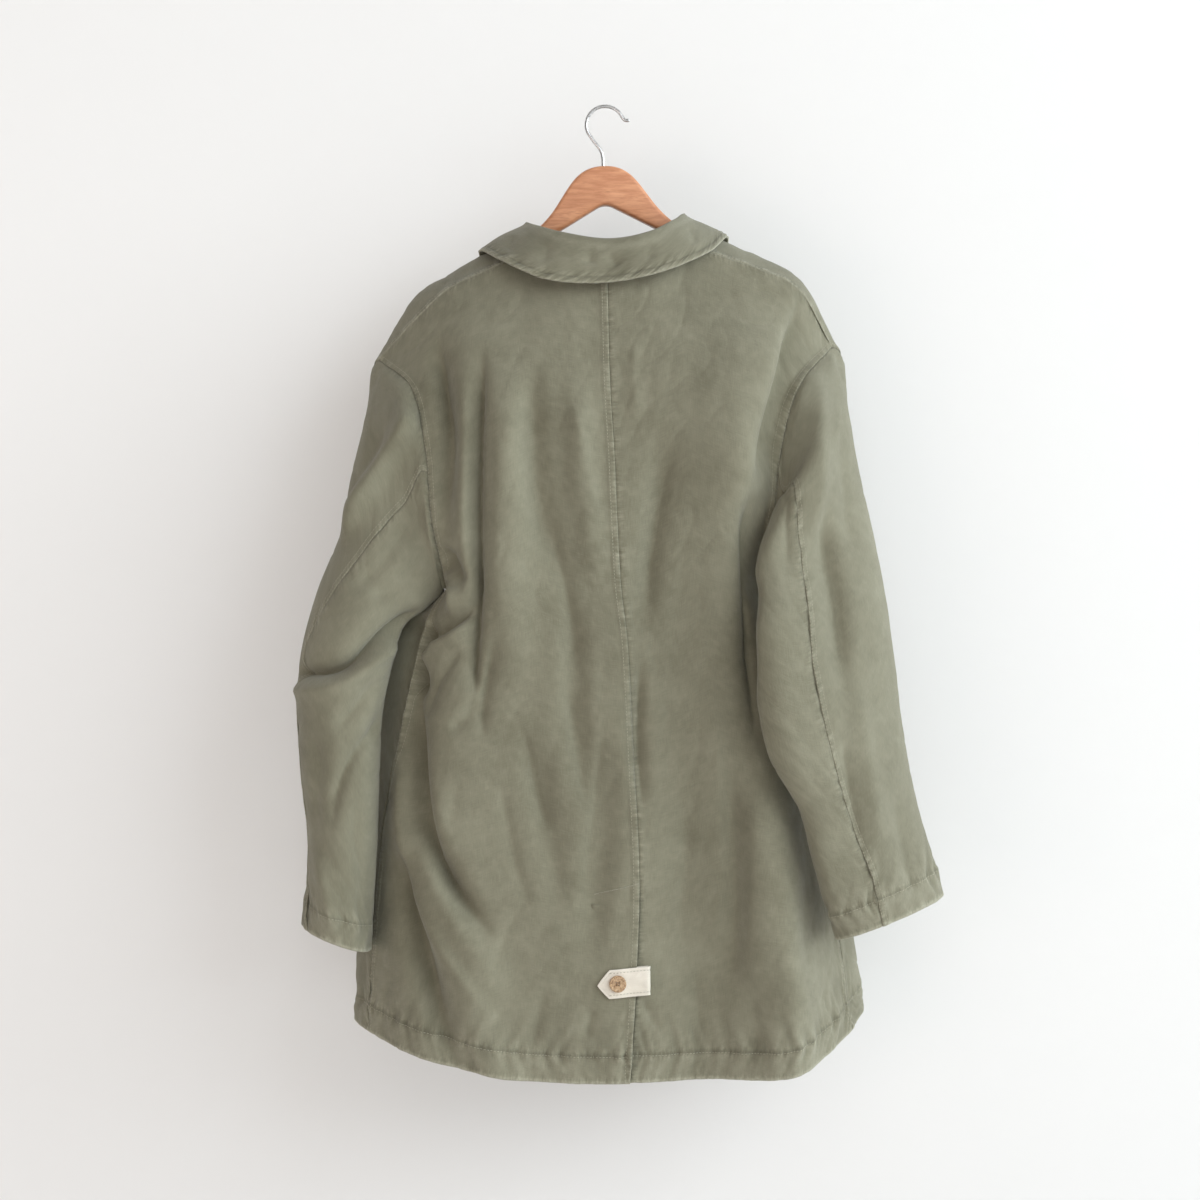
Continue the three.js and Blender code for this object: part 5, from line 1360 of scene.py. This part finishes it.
def collar_piece():
    """The whole collar as one grid, from its seam over its fold to its edge."""
    fold, edge, belly = COLLAR_BACK
    back = collar_across(np.array(NECK_BACK, float), np.array(fold), np.array(edge), belly)
    stations = np.array(collar_stations(LEFT)[::-1] + [back] + collar_stations(RIGHT))
    shares = graded(COLLAR_LENGTH, coarse=2.6, first=8, last=8)
    lines = np.array([evenly(stations[:, across], 0, 10, shares) for across in range(6)])
    index = spread(lines[:, len(shares) // 2], 0, 5, graded(COLLAR_DEPTH, coarse=2.2, first=4, last=10))
    places = spline_places(lines, index)
    radial = places - np.array([0, 0, -150.0])
    radial[..., 2] *= 0
    radial[: len(index) // 2] *= 0
    normals = grid_normals(places, radial)
    weave = weave_over(places)
    along = lengths_along(places, 1)
    down = lengths_along(places, 0)
    from_edge = down[-1:] - down
    from_end = np.minimum(along, along[:, -1:] - along)
    border = np.minimum(from_edge, from_end)
    fall = smooth_step(0, 20, down - 30)
    outward = pucker(along, np.abs(from_edge - COLLAR_STITCH), 91, pitch=6, height=1.1, reach=7)
    outward += pucker(down, np.abs(from_end - COLLAR_STITCH), 92, pitch=8, height=0.6, reach=8) * fall
    outward += value_noise(along / 34, down / 24, 93) * 0.6 * smooth_step(0, 20, down)
    outward -= 0.45 * nearness(border - COLLAR_STITCH, 1.0) * fall
    outward += 0.35 * smooth_step(COLLAR_STITCH + 1, COLLAR_STITCH - 1, border) * fall
    inward = crease_depth(places, COLLAR_CREASES) * fall * smooth_step(0, 0.4, -normals[..., 1])
    # The wear map: pale along the edges, along the fold and on raised cloth; painted shade below 0 in the
    # stitch furrow and in dips.
    wear_and_shade = (0.85 * nearness(border, 1.8) - 0.45 * nearness(border - COLLAR_STITCH, 1.2)) * fall
    wear_and_shade += 0.3 * nearness(down - 34, 4.0) + 0.3 * np.clip(outward, -1, 1)
    wear_and_shade += 0.1 * value_noise(along / 5, down / 5, 94)
    places = places + normals * (outward - inward)[..., None]
    normals = grid_normals(places, radial)
    thread_path("collar", *line_at(places, normals, from_edge, COLLAR_STITCH, axis=0))
    crimp = seam_nearness([from_end - COLLAR_STITCH], [from_edge - COLLAR_STITCH, from_edge])
    return cloth_mesh("coat_collar", places, normals, weave, wear_and_shade, crimp)


coat_collar = sewn_piece("coat_collar", collar_piece(), TWILL, "collar", COLLAR_CLOTH)

# ---------------------------------------------------------------- Pockets
# Two patch pockets topstitched low on the fronts, their lower corners rounded and their
# mouths turned in and stitched across.

POCKET_WIDTH = 165
POCKET_HEIGHT = 190
POCKET_INNER = 48
POCKET_TOP = -735
POCKET_CORNER = 22
POCKET_STITCH = 4
POCKET_MOUTH = 22
FRONT_DEPTH = 90


def surface_tree(obj):
    """The piece's cloth as something a line can be dropped on to."""
    shape = bmesh.new()
    shape.from_mesh(obj.data)
    tree = BVHTree.FromBMesh(shape)
    shape.free()
    return tree


def depth_on(tree, x, z, facing):
    """The y in millimetres where a level line first meets the cloth from outside."""
    hit = tree.ray_cast(Vector((x * MM, facing * 0.5, z * MM)), Vector((0, -facing, 0)))
    return hit[0].y / MM if hit[0] else None


def inside_border(grid):
    """The grid's places one line in from its sides and bottom, down one side and up the other."""
    return np.concatenate([grid[1:-2, 1], grid[-2, 1:-2], grid[-3:0:-1, -2]])


def pocket_piece(side, front):
    """A pocket laid on the front's cloth, puffed a little inside its stitching."""
    tree = surface_tree(front)
    columns, rows = np.linspace(-1, 1, 49), np.linspace(0, 1, 55)
    across, down = np.meshgrid(columns, rows)
    x = side * (POCKET_INNER + POCKET_WIDTH / 2) + across * POCKET_WIDTH / 2
    z = POCKET_TOP - POCKET_HEIGHT * down + POCKET_CORNER * np.abs(across) ** 5 * down ** 6
    y = np.array([[depth_on(tree, a, b, 1) or FRONT_DEPTH for a, b in zip(*line)] for line in zip(x, z)])
    for _ in range(3):
        y[1:-1, 1:-1] = (y[:-2, 1:-1] + y[2:, 1:-1] + y[1:-1, :-2] + y[1:-1, 2:] + 2 * y[1:-1, 1:-1]) / 6
    places = np.stack([x, y, z], axis=-1)
    normals = grid_normals(places, np.array([0, 1.0, 0]))
    along, fallen = lengths_along(places, 1), lengths_along(places, 0)
    from_side = np.minimum(along, along[:, -1:] - along)
    border = np.minimum(from_side, fallen[-1:] - fallen)
    stand = 1.7 + 1.6 * smooth_step(0, 16, border) + 0.9 * smooth_step(14, 0, fallen)
    crinkle = pucker(along + fallen, border, 101 + side, pitch=8, height=0.5, reach=9)
    stand += crinkle * smooth_step(0, 3, border)
    stand += rumple(along, fallen, 103 + side) * 0.7 * smooth_step(6, 20, border)
    stand -= 0.3 * nearness(border - POCKET_STITCH, 1.0) + 0.4 * nearness(fallen - POCKET_MOUTH, 1.2)
    # The wear map: pale along the edges and the mouth; painted shade below 0 in the furrow of the mouth's
    # stitching.
    wear_and_shade = 0.6 * nearness(border, 1.6) + 0.6 * nearness(fallen, 2.0)
    wear_and_shade -= 0.4 * nearness(fallen - POCKET_MOUTH - 1, 1.4)
    places = places + normals * stand[..., None]
    normals = grid_normals(places, np.array([0, 1.0, 0]))
    weave = np.stack([along, -fallen], axis=-1) * MM
    group = f"pocket_{SIDE_WORD[side]}"
    thread_path(group, *line_at(places, normals, fallen, POCKET_MOUTH - 1, axis=0))
    thread_path(group, inside_border(places), inside_border(normals))
    crimp = seam_nearness([from_side - POCKET_STITCH],
                          [fallen - POCKET_MOUTH, fallen[-1:] - fallen - POCKET_STITCH])
    return cloth_mesh(f"coat_{group}", places, normals, weave, wear_and_shade, crimp)


for side, front in ((LEFT, front_left), (RIGHT, front_right)):
    name = f"pocket_{SIDE_WORD[side]}"
    pocket = sewn_piece(f"coat_{name}", pocket_piece(side, front), TWILL, name)

# ---------------------------------------------------------------- Vent tab
# A strap of undyed canvas, pointed at its free end. It comes out from under the vent's
# edge, folds back over it, and a button through its point holds the vent closed.

TAB_MIDDLE = -899
TAB_WIDTH = 28.5
TAB_SLANT = 0.09
TAB_SEAT = 26
TAB_CLOTH = 1.4
TAB_FOLD = 41
TAB_POINT = -9
TAB_SHOULDER = 12
TAB_STAND = 2.6
TAB_UNDER = 2.5
TAB_COLUMNS = 40
TAB_STITCH = 3.2
TAB_SEWN = 8
VENT_EDGE = 27
CANVAS_DARK = (0.74, 0.68, 0.57, 1)
CANVAS_MID = (0.87, 0.81, 0.71, 1)
CANVAS_PALE = (0.93, 0.89, 0.81, 1)
CANVAS = cotton("canvas", CANVAS_DARK, CANVAS_MID, CANVAS_PALE, 5200.0, 0.35)


def tab_level(share, x):
    """Height of a lengthwise line of the tab, which rises a little towards its fold."""
    return TAB_MIDDLE - share * TAB_WIDTH / 2 + TAB_SLANT * (x - TAB_SEAT)


def tab_piece():
    """The strap from its point over the vent, round its fold and back under the edge."""
    tree = surface_tree(back_left)
    radius = (TAB_STAND + TAB_UNDER) / 2

    def laid(share, x, lift):
        z = tab_level(share, x)
        return (x, depth_on(tree, min(x, VENT_EDGE - 3), z, -1) + lift, z)

    lines = []
    for share in np.linspace(-1, 1, 25):
        point_x = TAB_POINT + abs(share) ** 1.15 * TAB_SHOULDER
        line = [laid(share, x, -TAB_STAND) for x in np.linspace(point_x, TAB_FOLD, TAB_COLUMNS)]
        fold_y, fold_z = line[-1][1] + radius, line[-1][2]
        for turn in np.linspace(0, math.pi, 9)[1:-1]:
            line.append((TAB_FOLD + radius * math.sin(turn), fold_y - radius * math.cos(turn), fold_z))
        line += [laid(share, x, TAB_UNDER) for x in np.linspace(TAB_FOLD, TAB_SEWN, 16)]
        lines.append(line)
    places = np.array(lines)
    for _ in range(6):
        places[1:-1, 1:-1, 1] = (places[:-2, 1:-1, 1] + places[2:, 1:-1, 1] + places[1:-1, :-2, 1]
                                 + places[1:-1, 2:, 1]) / 4
    toward = np.zeros_like(places)
    toward[:, :TAB_COLUMNS, 1] = -1
    normals = grid_normals(places, toward)
    along, down = lengths_along(places, 1), lengths_along(places, 0)
    border = np.minimum(np.minimum(down, down[-1:] - down), along)
    outward = 0.35 * value_noise(along / 7, down / 9, 111) * smooth_step(0, 4, border)
    outward -= 0.3 * nearness(border - TAB_STITCH, 0.8)
    # The wear map: pale along the edges; painted shade below 0 in the stitch furrow; and darker towards the
    # fold, past 30 mm out.
    wear_and_shade = 0.4 * nearness(border, 1.2) - 0.3 * nearness(border - TAB_STITCH, 0.8)
    wear_and_shade = wear_and_shade - 0.25 * smooth_step(30, 50, places[..., 0]) + 0.15 * value_noise(along / 4, down / 4, 112)
    places = places + normals * outward[..., None]
    normals = grid_normals(places, toward)
    for row in (3, -4):
        thread_path("tab", places[row, 3:TAB_COLUMNS + 4], normals[row, 3:TAB_COLUMNS + 4])
    weave = np.stack([along, -down], axis=-1) * MM
    return cloth_mesh("coat_vent_tab", places, normals, weave, wear_and_shade, np.zeros(places.shape[:2] + (2,)))


vent_tab = sewn_piece("coat_vent_tab", tab_piece(), CANVAS, "vent_tab", TAB_CLOTH)

# ---------------------------------------------------------------- Buttons
# Four-hole buttons turned from a mottled brown resin like horn, 17 mm across with a dished
# face, each sewn on with crossed thread.

BUTTON_HOLE = 0.95
BUTTON_PITCH = 1.7
# Half of the disc's outline from its back to its dished face: out from the middle, and up.
BUTTON_PROFILE = [(0, 0), (6.6, 0), (7.6, 0.5), (8.3, 1.2), (8.6, 2.0), (8.45, 2.75), (7.9, 3.15),
                  (7.2, 3.15), (6.4, 2.7), (5.4, 2.45), (3.0, 2.4), (0, 2.4)]
CROSS_THREAD = (4.6, 0.9, 0.6)
CROSS_LEVEL = 2.62
CROSS_GAP = 0.28
RESIN_DARK = (0.22, 0.115, 0.05, 1)
RESIN_PALE = (0.62, 0.42, 0.24, 1)
RESIN_FLECK = (0.80, 0.62, 0.42, 1)
THREAD_DARK = (0.29, 0.275, 0.20, 1)
THREAD_PALE = (0.45, 0.43, 0.33, 1)


def button_resin():
    """Mottled brown resin, polished, with pale flecks."""
    material, tree, shader = new_material("button")
    object_place = add_node(tree, "ShaderNodeTexCoord").outputs["Object"]
    swirl = clouds(tree, object_place, 210.0, 4.0, 0.6, 2.4)
    fleck = clouds(tree, object_place, 900.0, 2.0, 0.5, 0.6)
    colour = mix_colour(tree, between(tree, swirl, 0.36, 0.64), RESIN_DARK, RESIN_PALE)
    colour = mix_colour(tree, between(tree, fleck, 0.55, 0.7, 0.0, 0.5), colour, RESIN_FLECK)
    surface_finish(tree, shader, colour, between(tree, fleck, 0.3, 0.7, 0.24, 0.36), fleck, 0.08, 0.0002)
    shader.inputs["Coat Weight"].default_value = 0.3
    return material


def thread_cotton():
    """Sewing thread, its ply showing as a fine mottle."""
    material, tree, shader = new_material("sewing_thread")
    object_place = add_node(tree, "ShaderNodeTexCoord").outputs["Object"]
    ply = clouds(tree, object_place, 2400.0, 2.0)
    colour = mix_colour(tree, ply, THREAD_DARK, THREAD_PALE)
    surface_finish(tree, shader, colour, between(tree, ply, 0.3, 0.7, 0.6, 0.8), ply, 0.3, 0.0001)
    shader.inputs["Sheen Weight"].default_value = 0.2
    return material


BUTTON_RESIN = button_resin()
THREAD = thread_cotton()


def stitch_matrix(place, along, normal, size):
    """A matrix that lays a unit ball as a stitch: length, height and width in millimetres."""
    along = Vector(along).normalized()
    side = Vector(normal).cross(along).normalized()
    up = along.cross(side)
    turn = Matrix((along, side, up)).transposed().to_4x4()
    scale = Matrix.Diagonal((size[0] / 2 * MM, size[2] / 2 * MM, size[1] / 2 * MM, 1))
    return Matrix.Translation(Vector(place) * MM) @ turn @ scale


def button_blank():
    """The disc, spun from its profile."""
    shape = bmesh.new()
    ring = [shape.verts.new((r * MM, 0, z * MM)) for r, z in BUTTON_PROFILE]
    edges = [shape.edges.new(pair) for pair in zip(ring, ring[1:])]
    bmesh.ops.spin(shape, geom=ring + edges, cent=(0, 0, 0), axis=(0, 0, 1), angle=2 * math.pi,
                   steps=48, use_merge=True)
    bmesh.ops.remove_doubles(shape, verts=shape.verts, dist=0.00002)
    bmesh.ops.recalc_face_normals(shape, faces=shape.faces)
    return finished_mesh(shape, "button_blank")


def button_drills():
    """Four rods where the thread's holes go."""
    shape = bmesh.new()
    for quarter in range(4):
        turn = math.pi / 4 + quarter * math.pi / 2
        across = (BUTTON_PITCH * math.cos(turn) * MM, BUTTON_PITCH * math.sin(turn) * MM, 0.0015)
        bmesh.ops.create_cone(shape, cap_ends=True, segments=16, radius1=BUTTON_HOLE * MM,
                              radius2=BUTTON_HOLE * MM, depth=0.02, matrix=Matrix.Translation(across))
    return finished_mesh(shape, "button_drills")


def drilled_button():
    """The blank with its holes cut right through."""
    body = bpy.data.objects.new("button_blank", button_blank())
    tool = bpy.data.objects.new("button_drills", button_drills())
    for obj in (body, tool):
        bpy.context.scene.collection.objects.link(obj)
    cut = body.modifiers.new("holes", "BOOLEAN")
    cut.object = tool
    cut.operation = "DIFFERENCE"
    cut.solver = "EXACT"
    bpy.context.view_layer.update()
    graph = bpy.context.evaluated_depsgraph_get()
    drilled = bpy.data.meshes.new_from_object(body.evaluated_get(graph))
    bpy.data.objects.remove(body)
    bpy.data.objects.remove(tool)
    return drilled


def button_piece(node):
    """A button in its node's place, facing the way its node does, with its thread."""
    low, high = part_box(node)
    middle = (low + high) / 2
    facing = -1 if middle.y < 0 else 1
    back_y = high.y if facing < 0 else low.y
    drilled = drilled_button()
    shape = bmesh.new()
    shape.from_mesh(drilled)
    for face in shape.faces:
        face.material_index = 0
    for turn in (math.pi / 4, -math.pi / 4):
        for shift in (-CROSS_GAP, CROSS_GAP):
            along = (math.cos(turn), math.sin(turn), 0)
            place = (-math.sin(turn) * shift, math.cos(turn) * shift, CROSS_LEVEL)
            made = bmesh.ops.create_uvsphere(shape, u_segments=8, v_segments=6, radius=1.0,
                                             matrix=stitch_matrix(place, along, (0, 0, 1), CROSS_THREAD))
            for face in {face for vert in made["verts"] for face in vert.link_faces}:
                face.material_index = 1
    stand = Matrix.Translation((middle.x, back_y, middle.z)) @ Matrix.Rotation(-facing * math.pi / 2, 4, "X")
    bmesh.ops.transform(shape, matrix=stand, verts=shape.verts)
    shape.to_mesh(drilled)
    shape.free()
    drilled.name = f"sewn_{node}"
    drilled.materials.clear()
    obj = link_piece(f"sewn_{node}", drilled, [BUTTON_RESIN, THREAD])
    for polygon in drilled.polygons:
        polygon.use_smooth = abs(polygon.normal.y) < 0.999
    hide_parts(node)
    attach(obj, "root")
    return middle


button_places = {}
for node in ["vent_button"] + [f"front_button_{number}" for number in range(1, 6)]:
    button_places[node] = button_piece(node)

# ---------------------------------------------------------------- Stitching
# Tone-on-tone topstitching, three stitches to the centimetre, along every felled seam, hem
# and edge; bar tacks at the vent top; and a worked buttonhole beside each front button.

STITCH_LENGTH = 2.7
STITCH_PITCH = 3.4
STITCH_SIZE = (STITCH_LENGTH, 0.7, 0.6)
BUTTONHOLE_OUT = 13
BUTTONHOLE_IN = 7
BUTTONHOLE_WIDTH = 1.7
# The bar tack's ends across the vent's top, x and z, and the width of its stitches.
BAR_TACK = [(-12, -812.5), (33, -801)]
BAR_TACK_WIDTH = 1.5
SATIN_START = 0.3
SATIN_PITCH = 0.62
SATIN_SIZE = (0.45, 0.55)


def ride_stitches(name, shape):
    """Finishes a bmesh of stitches as one piece of the coat."""
    obj = link_piece(name, finished_mesh(shape, name), [THREAD])
    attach(obj, "root")


def stitches_on(group, lines):
    """One object of separate stitches laid along lines of cloth."""
    shape = bmesh.new()
    for places, normals in lines:
        lengths = np.concatenate([[0], np.cumsum(np.linalg.norm(np.diff(places, axis=0), axis=1))])
        count = int(lengths[-1] / STITCH_PITCH)
        at = (np.arange(count) + 0.5) * STITCH_PITCH
        spots, ahead, facing = (
            np.stack([np.interp(where, lengths, values[:, k]) for k in range(3)], axis=1)
            for where, values in ((at, places), (at + 1, places), (at, normals)))
        row = bmesh.new()
        for spot, onward, normal in zip(spots, ahead, facing):
            matrix = stitch_matrix(spot + normal * (CLOTH / 2 + 0.08), onward - spot, normal, STITCH_SIZE)
            bmesh.ops.create_uvsphere(row, u_segments=6, v_segments=4, radius=1.0, matrix=matrix)
        part = finished_mesh(row, "stitch_row")
        shape.from_mesh(part)
        bpy.data.meshes.remove(part)
    ride_stitches(f"stitches_{group}", shape)


def satin(start, end, normal, width):
    """Close crosswise threads from start to end, as in a bar tack or buttonhole edge."""
    start, end, normal = (np.array(value, float) for value in (start, end, normal))
    along = end - start
    length = np.linalg.norm(along)
    across = np.cross(along / length, normal)
    rows = []
    for step in np.arange(SATIN_START, length, SATIN_PITCH):
        rows.append((start + along * step / length, across, normal, width))
    return rows


def satin_row(knots, normal, width):
    """Satin from each knot of a line to the next."""
    rows = []
    for start, end in zip(knots, knots[1:]):
        rows += satin(start, end, normal, width)
    return rows


def bar_tack():
    """The bar tack across the top of the vent."""
    tree = surface_tree(back_left)
    (x0, z0), (x1, z1) = BAR_TACK
    knots = [(x, depth_on(tree, min(x, VENT_EDGE), z, -1) - 0.9, z)
             for x, z in zip(np.linspace(x0, x1, 10), np.linspace(z0, z1, 10))]
    return satin_row(knots, (0, -1, 0), BAR_TACK_WIDTH)


def buttonhole(tree, middle):
    """The two worked edges of a buttonhole behind its button."""
    rows = []
    x0, z0 = middle.x / MM, middle.z / MM
    for z in (z0 - 1.0, z0 + 1.0):
        knots = [(x, (depth_on(tree, x, z, 1) or FRONT_DEPTH) + 0.75, z)
                 for x in np.linspace(x0 - BUTTONHOLE_OUT, x0 + BUTTONHOLE_IN, 5)]
        rows += satin_row(knots, (0, 1, 0), BUTTONHOLE_WIDTH)
    return rows


def tacks():
    """The bar tack and the buttonholes down the left front, as one piece of small stitches."""
    rows = bar_tack()
    tree = surface_tree(front_left)
    for node, middle in button_places.items():
        if node != "vent_button":
            rows += buttonhole(tree, middle)
    shape = bmesh.new()
    for place, across, normal, width in rows:
        matrix = stitch_matrix(place, across, normal, (width, *SATIN_SIZE))
        bmesh.ops.create_uvsphere(shape, u_segments=6, v_segments=4, radius=1.0, matrix=matrix)
    ride_stitches("stitches_tacks", shape)


for group, lines in thread_paths.items():
    stitches_on(group, lines)
tacks()

# ---------------------------------------------------------------- Studio
# A pale wall close behind the coat and a pale floor below it, soft daylight from the right, a
# white room all round, a faint warm bounce from the lower left, and one lamp linked to the wall
# and floor alone that evens out the wall.

WALL_Y = 0.125
WALL_TOP = 3
FLOOR_Z = -1.32
STAGE_REACH = 4
FLOOR_DEPTH = 5
WALL_PAINT = (0.72, 0.715, 0.705, 1)
FLOOR_PAINT = (0.80, 0.79, 0.78, 1)
DAYLIGHT = (0.92, 1.0, 1.05)
COAT_MIDDLE = (0, 0, -0.5)
ROOM_WHITE = (1.0, 0.98, 0.95, 1)
ROOM_STRENGTH = 0.25
CAMERA_LENS = 62.86
CAMERA_PLACE = (-0.0063, -2.2, -0.5166)


def stage_plane(name, corners, colour, one_sided):
    """A matt plane of the set; a one-sided one is clear from behind."""
    shape = bmesh.new()
    shape.faces.new([shape.verts.new(corner) for corner in corners])
    mesh = finished_mesh(shape, name)
    obj = bpy.data.objects.new(name, mesh)
    bpy.context.scene.collection.objects.link(obj)
    material, tree, shader = new_material(name)
    shader.inputs["Base Color"].default_value = colour
    shader.inputs["Roughness"].default_value = 0.95
    shader.inputs["Specular IOR Level"].default_value = 0.1
    if one_sided:
        clear = tree.nodes.new("ShaderNodeBsdfTransparent")
        choose = tree.nodes.new("ShaderNodeMixShader")
        back = tree.nodes.new("ShaderNodeNewGeometry")
        tree.links.new(back.outputs["Backfacing"], choose.inputs[0])
        tree.links.new(shader.outputs[0], choose.inputs[1])
        tree.links.new(clear.outputs[0], choose.inputs[2])
        tree.links.new(choose.outputs[0], tree.nodes["Material Output"].inputs[0])
    mesh.materials.append(material)


stage_plane("studio_wall", [(-STAGE_REACH, WALL_Y, FLOOR_Z), (STAGE_REACH, WALL_Y, FLOOR_Z),
                            (STAGE_REACH, WALL_Y, WALL_TOP), (-STAGE_REACH, WALL_Y, WALL_TOP)],
            WALL_PAINT, True)
stage_plane("studio_floor", [(-STAGE_REACH, -FLOOR_DEPTH, FLOOR_Z), (STAGE_REACH, -FLOOR_DEPTH, FLOOR_Z),
                             (STAGE_REACH, FLOOR_DEPTH, FLOOR_Z), (-STAGE_REACH, FLOOR_DEPTH, FLOOR_Z)],
            FLOOR_PAINT, False)


def soft_light(name, place, target, size, power, colour):
    """A rectangular lamp of so many watts, turned towards a place."""
    data = bpy.data.lights.new(name, "AREA")
    data.shape = "RECTANGLE"
    data.size, data.size_y = size
    data.energy = power
    data.color = colour
    obj = bpy.data.objects.new(name, data)
    obj.location = place
    obj.rotation_euler = (Vector(target) - Vector(place)).to_track_quat("-Z", "Y").to_euler()
    bpy.context.scene.collection.objects.link(obj)
    return obj


soft_light("window", (4.8, -1.2, 0.8), COAT_MIDDLE, (2.4, 3.0), 164, DAYLIGHT)
soft_light("sky", (3.3, -3.3, 1.5), COAT_MIDDLE, (3.0, 3.0), 105, DAYLIGHT)
soft_light("room", (0.3, -4.7, 1.6), COAT_MIDDLE, (4.0, 3.0), 34, (1.0, 0.99, 0.97))
soft_light("bounce", (-1.6, -2.2, -1.0), (0, 0, -0.6), (1.6, 1.2), 10, (1.0, 0.74, 0.66))
wall_wash = soft_light("wall_wash", (-2.6, -4.6, 0.3), (-1.0, 0, -0.9), (4.0, 3.0), 90, (1.0, 0.985, 0.97))
stage_only = bpy.data.collections.new("stage_only")
for name in ("studio_wall", "studio_floor"):
    stage_only.objects.link(bpy.data.objects[name])
wall_wash.light_linking.receiver_collection = stage_only
wall_wash.light_linking.blocker_collection = stage_only

world = bpy.data.worlds.new("white_room")
bpy.context.scene.world = world
world.use_nodes = True
background = world.node_tree.nodes["Background"]
background.inputs["Color"].default_value = ROOM_WHITE
background.inputs["Strength"].default_value = ROOM_STRENGTH
bpy.context.scene.view_settings.view_transform = "Standard"

camera_data = bpy.data.cameras.new("camera")
camera_data.lens = CAMERA_LENS
camera_data.sensor_width = 36
camera = bpy.data.objects.new("camera", camera_data)
camera.location = CAMERA_PLACE
camera.rotation_euler = (math.pi / 2, 0, 0)
bpy.context.scene.collection.objects.link(camera)
bpy.context.scene.camera = camera
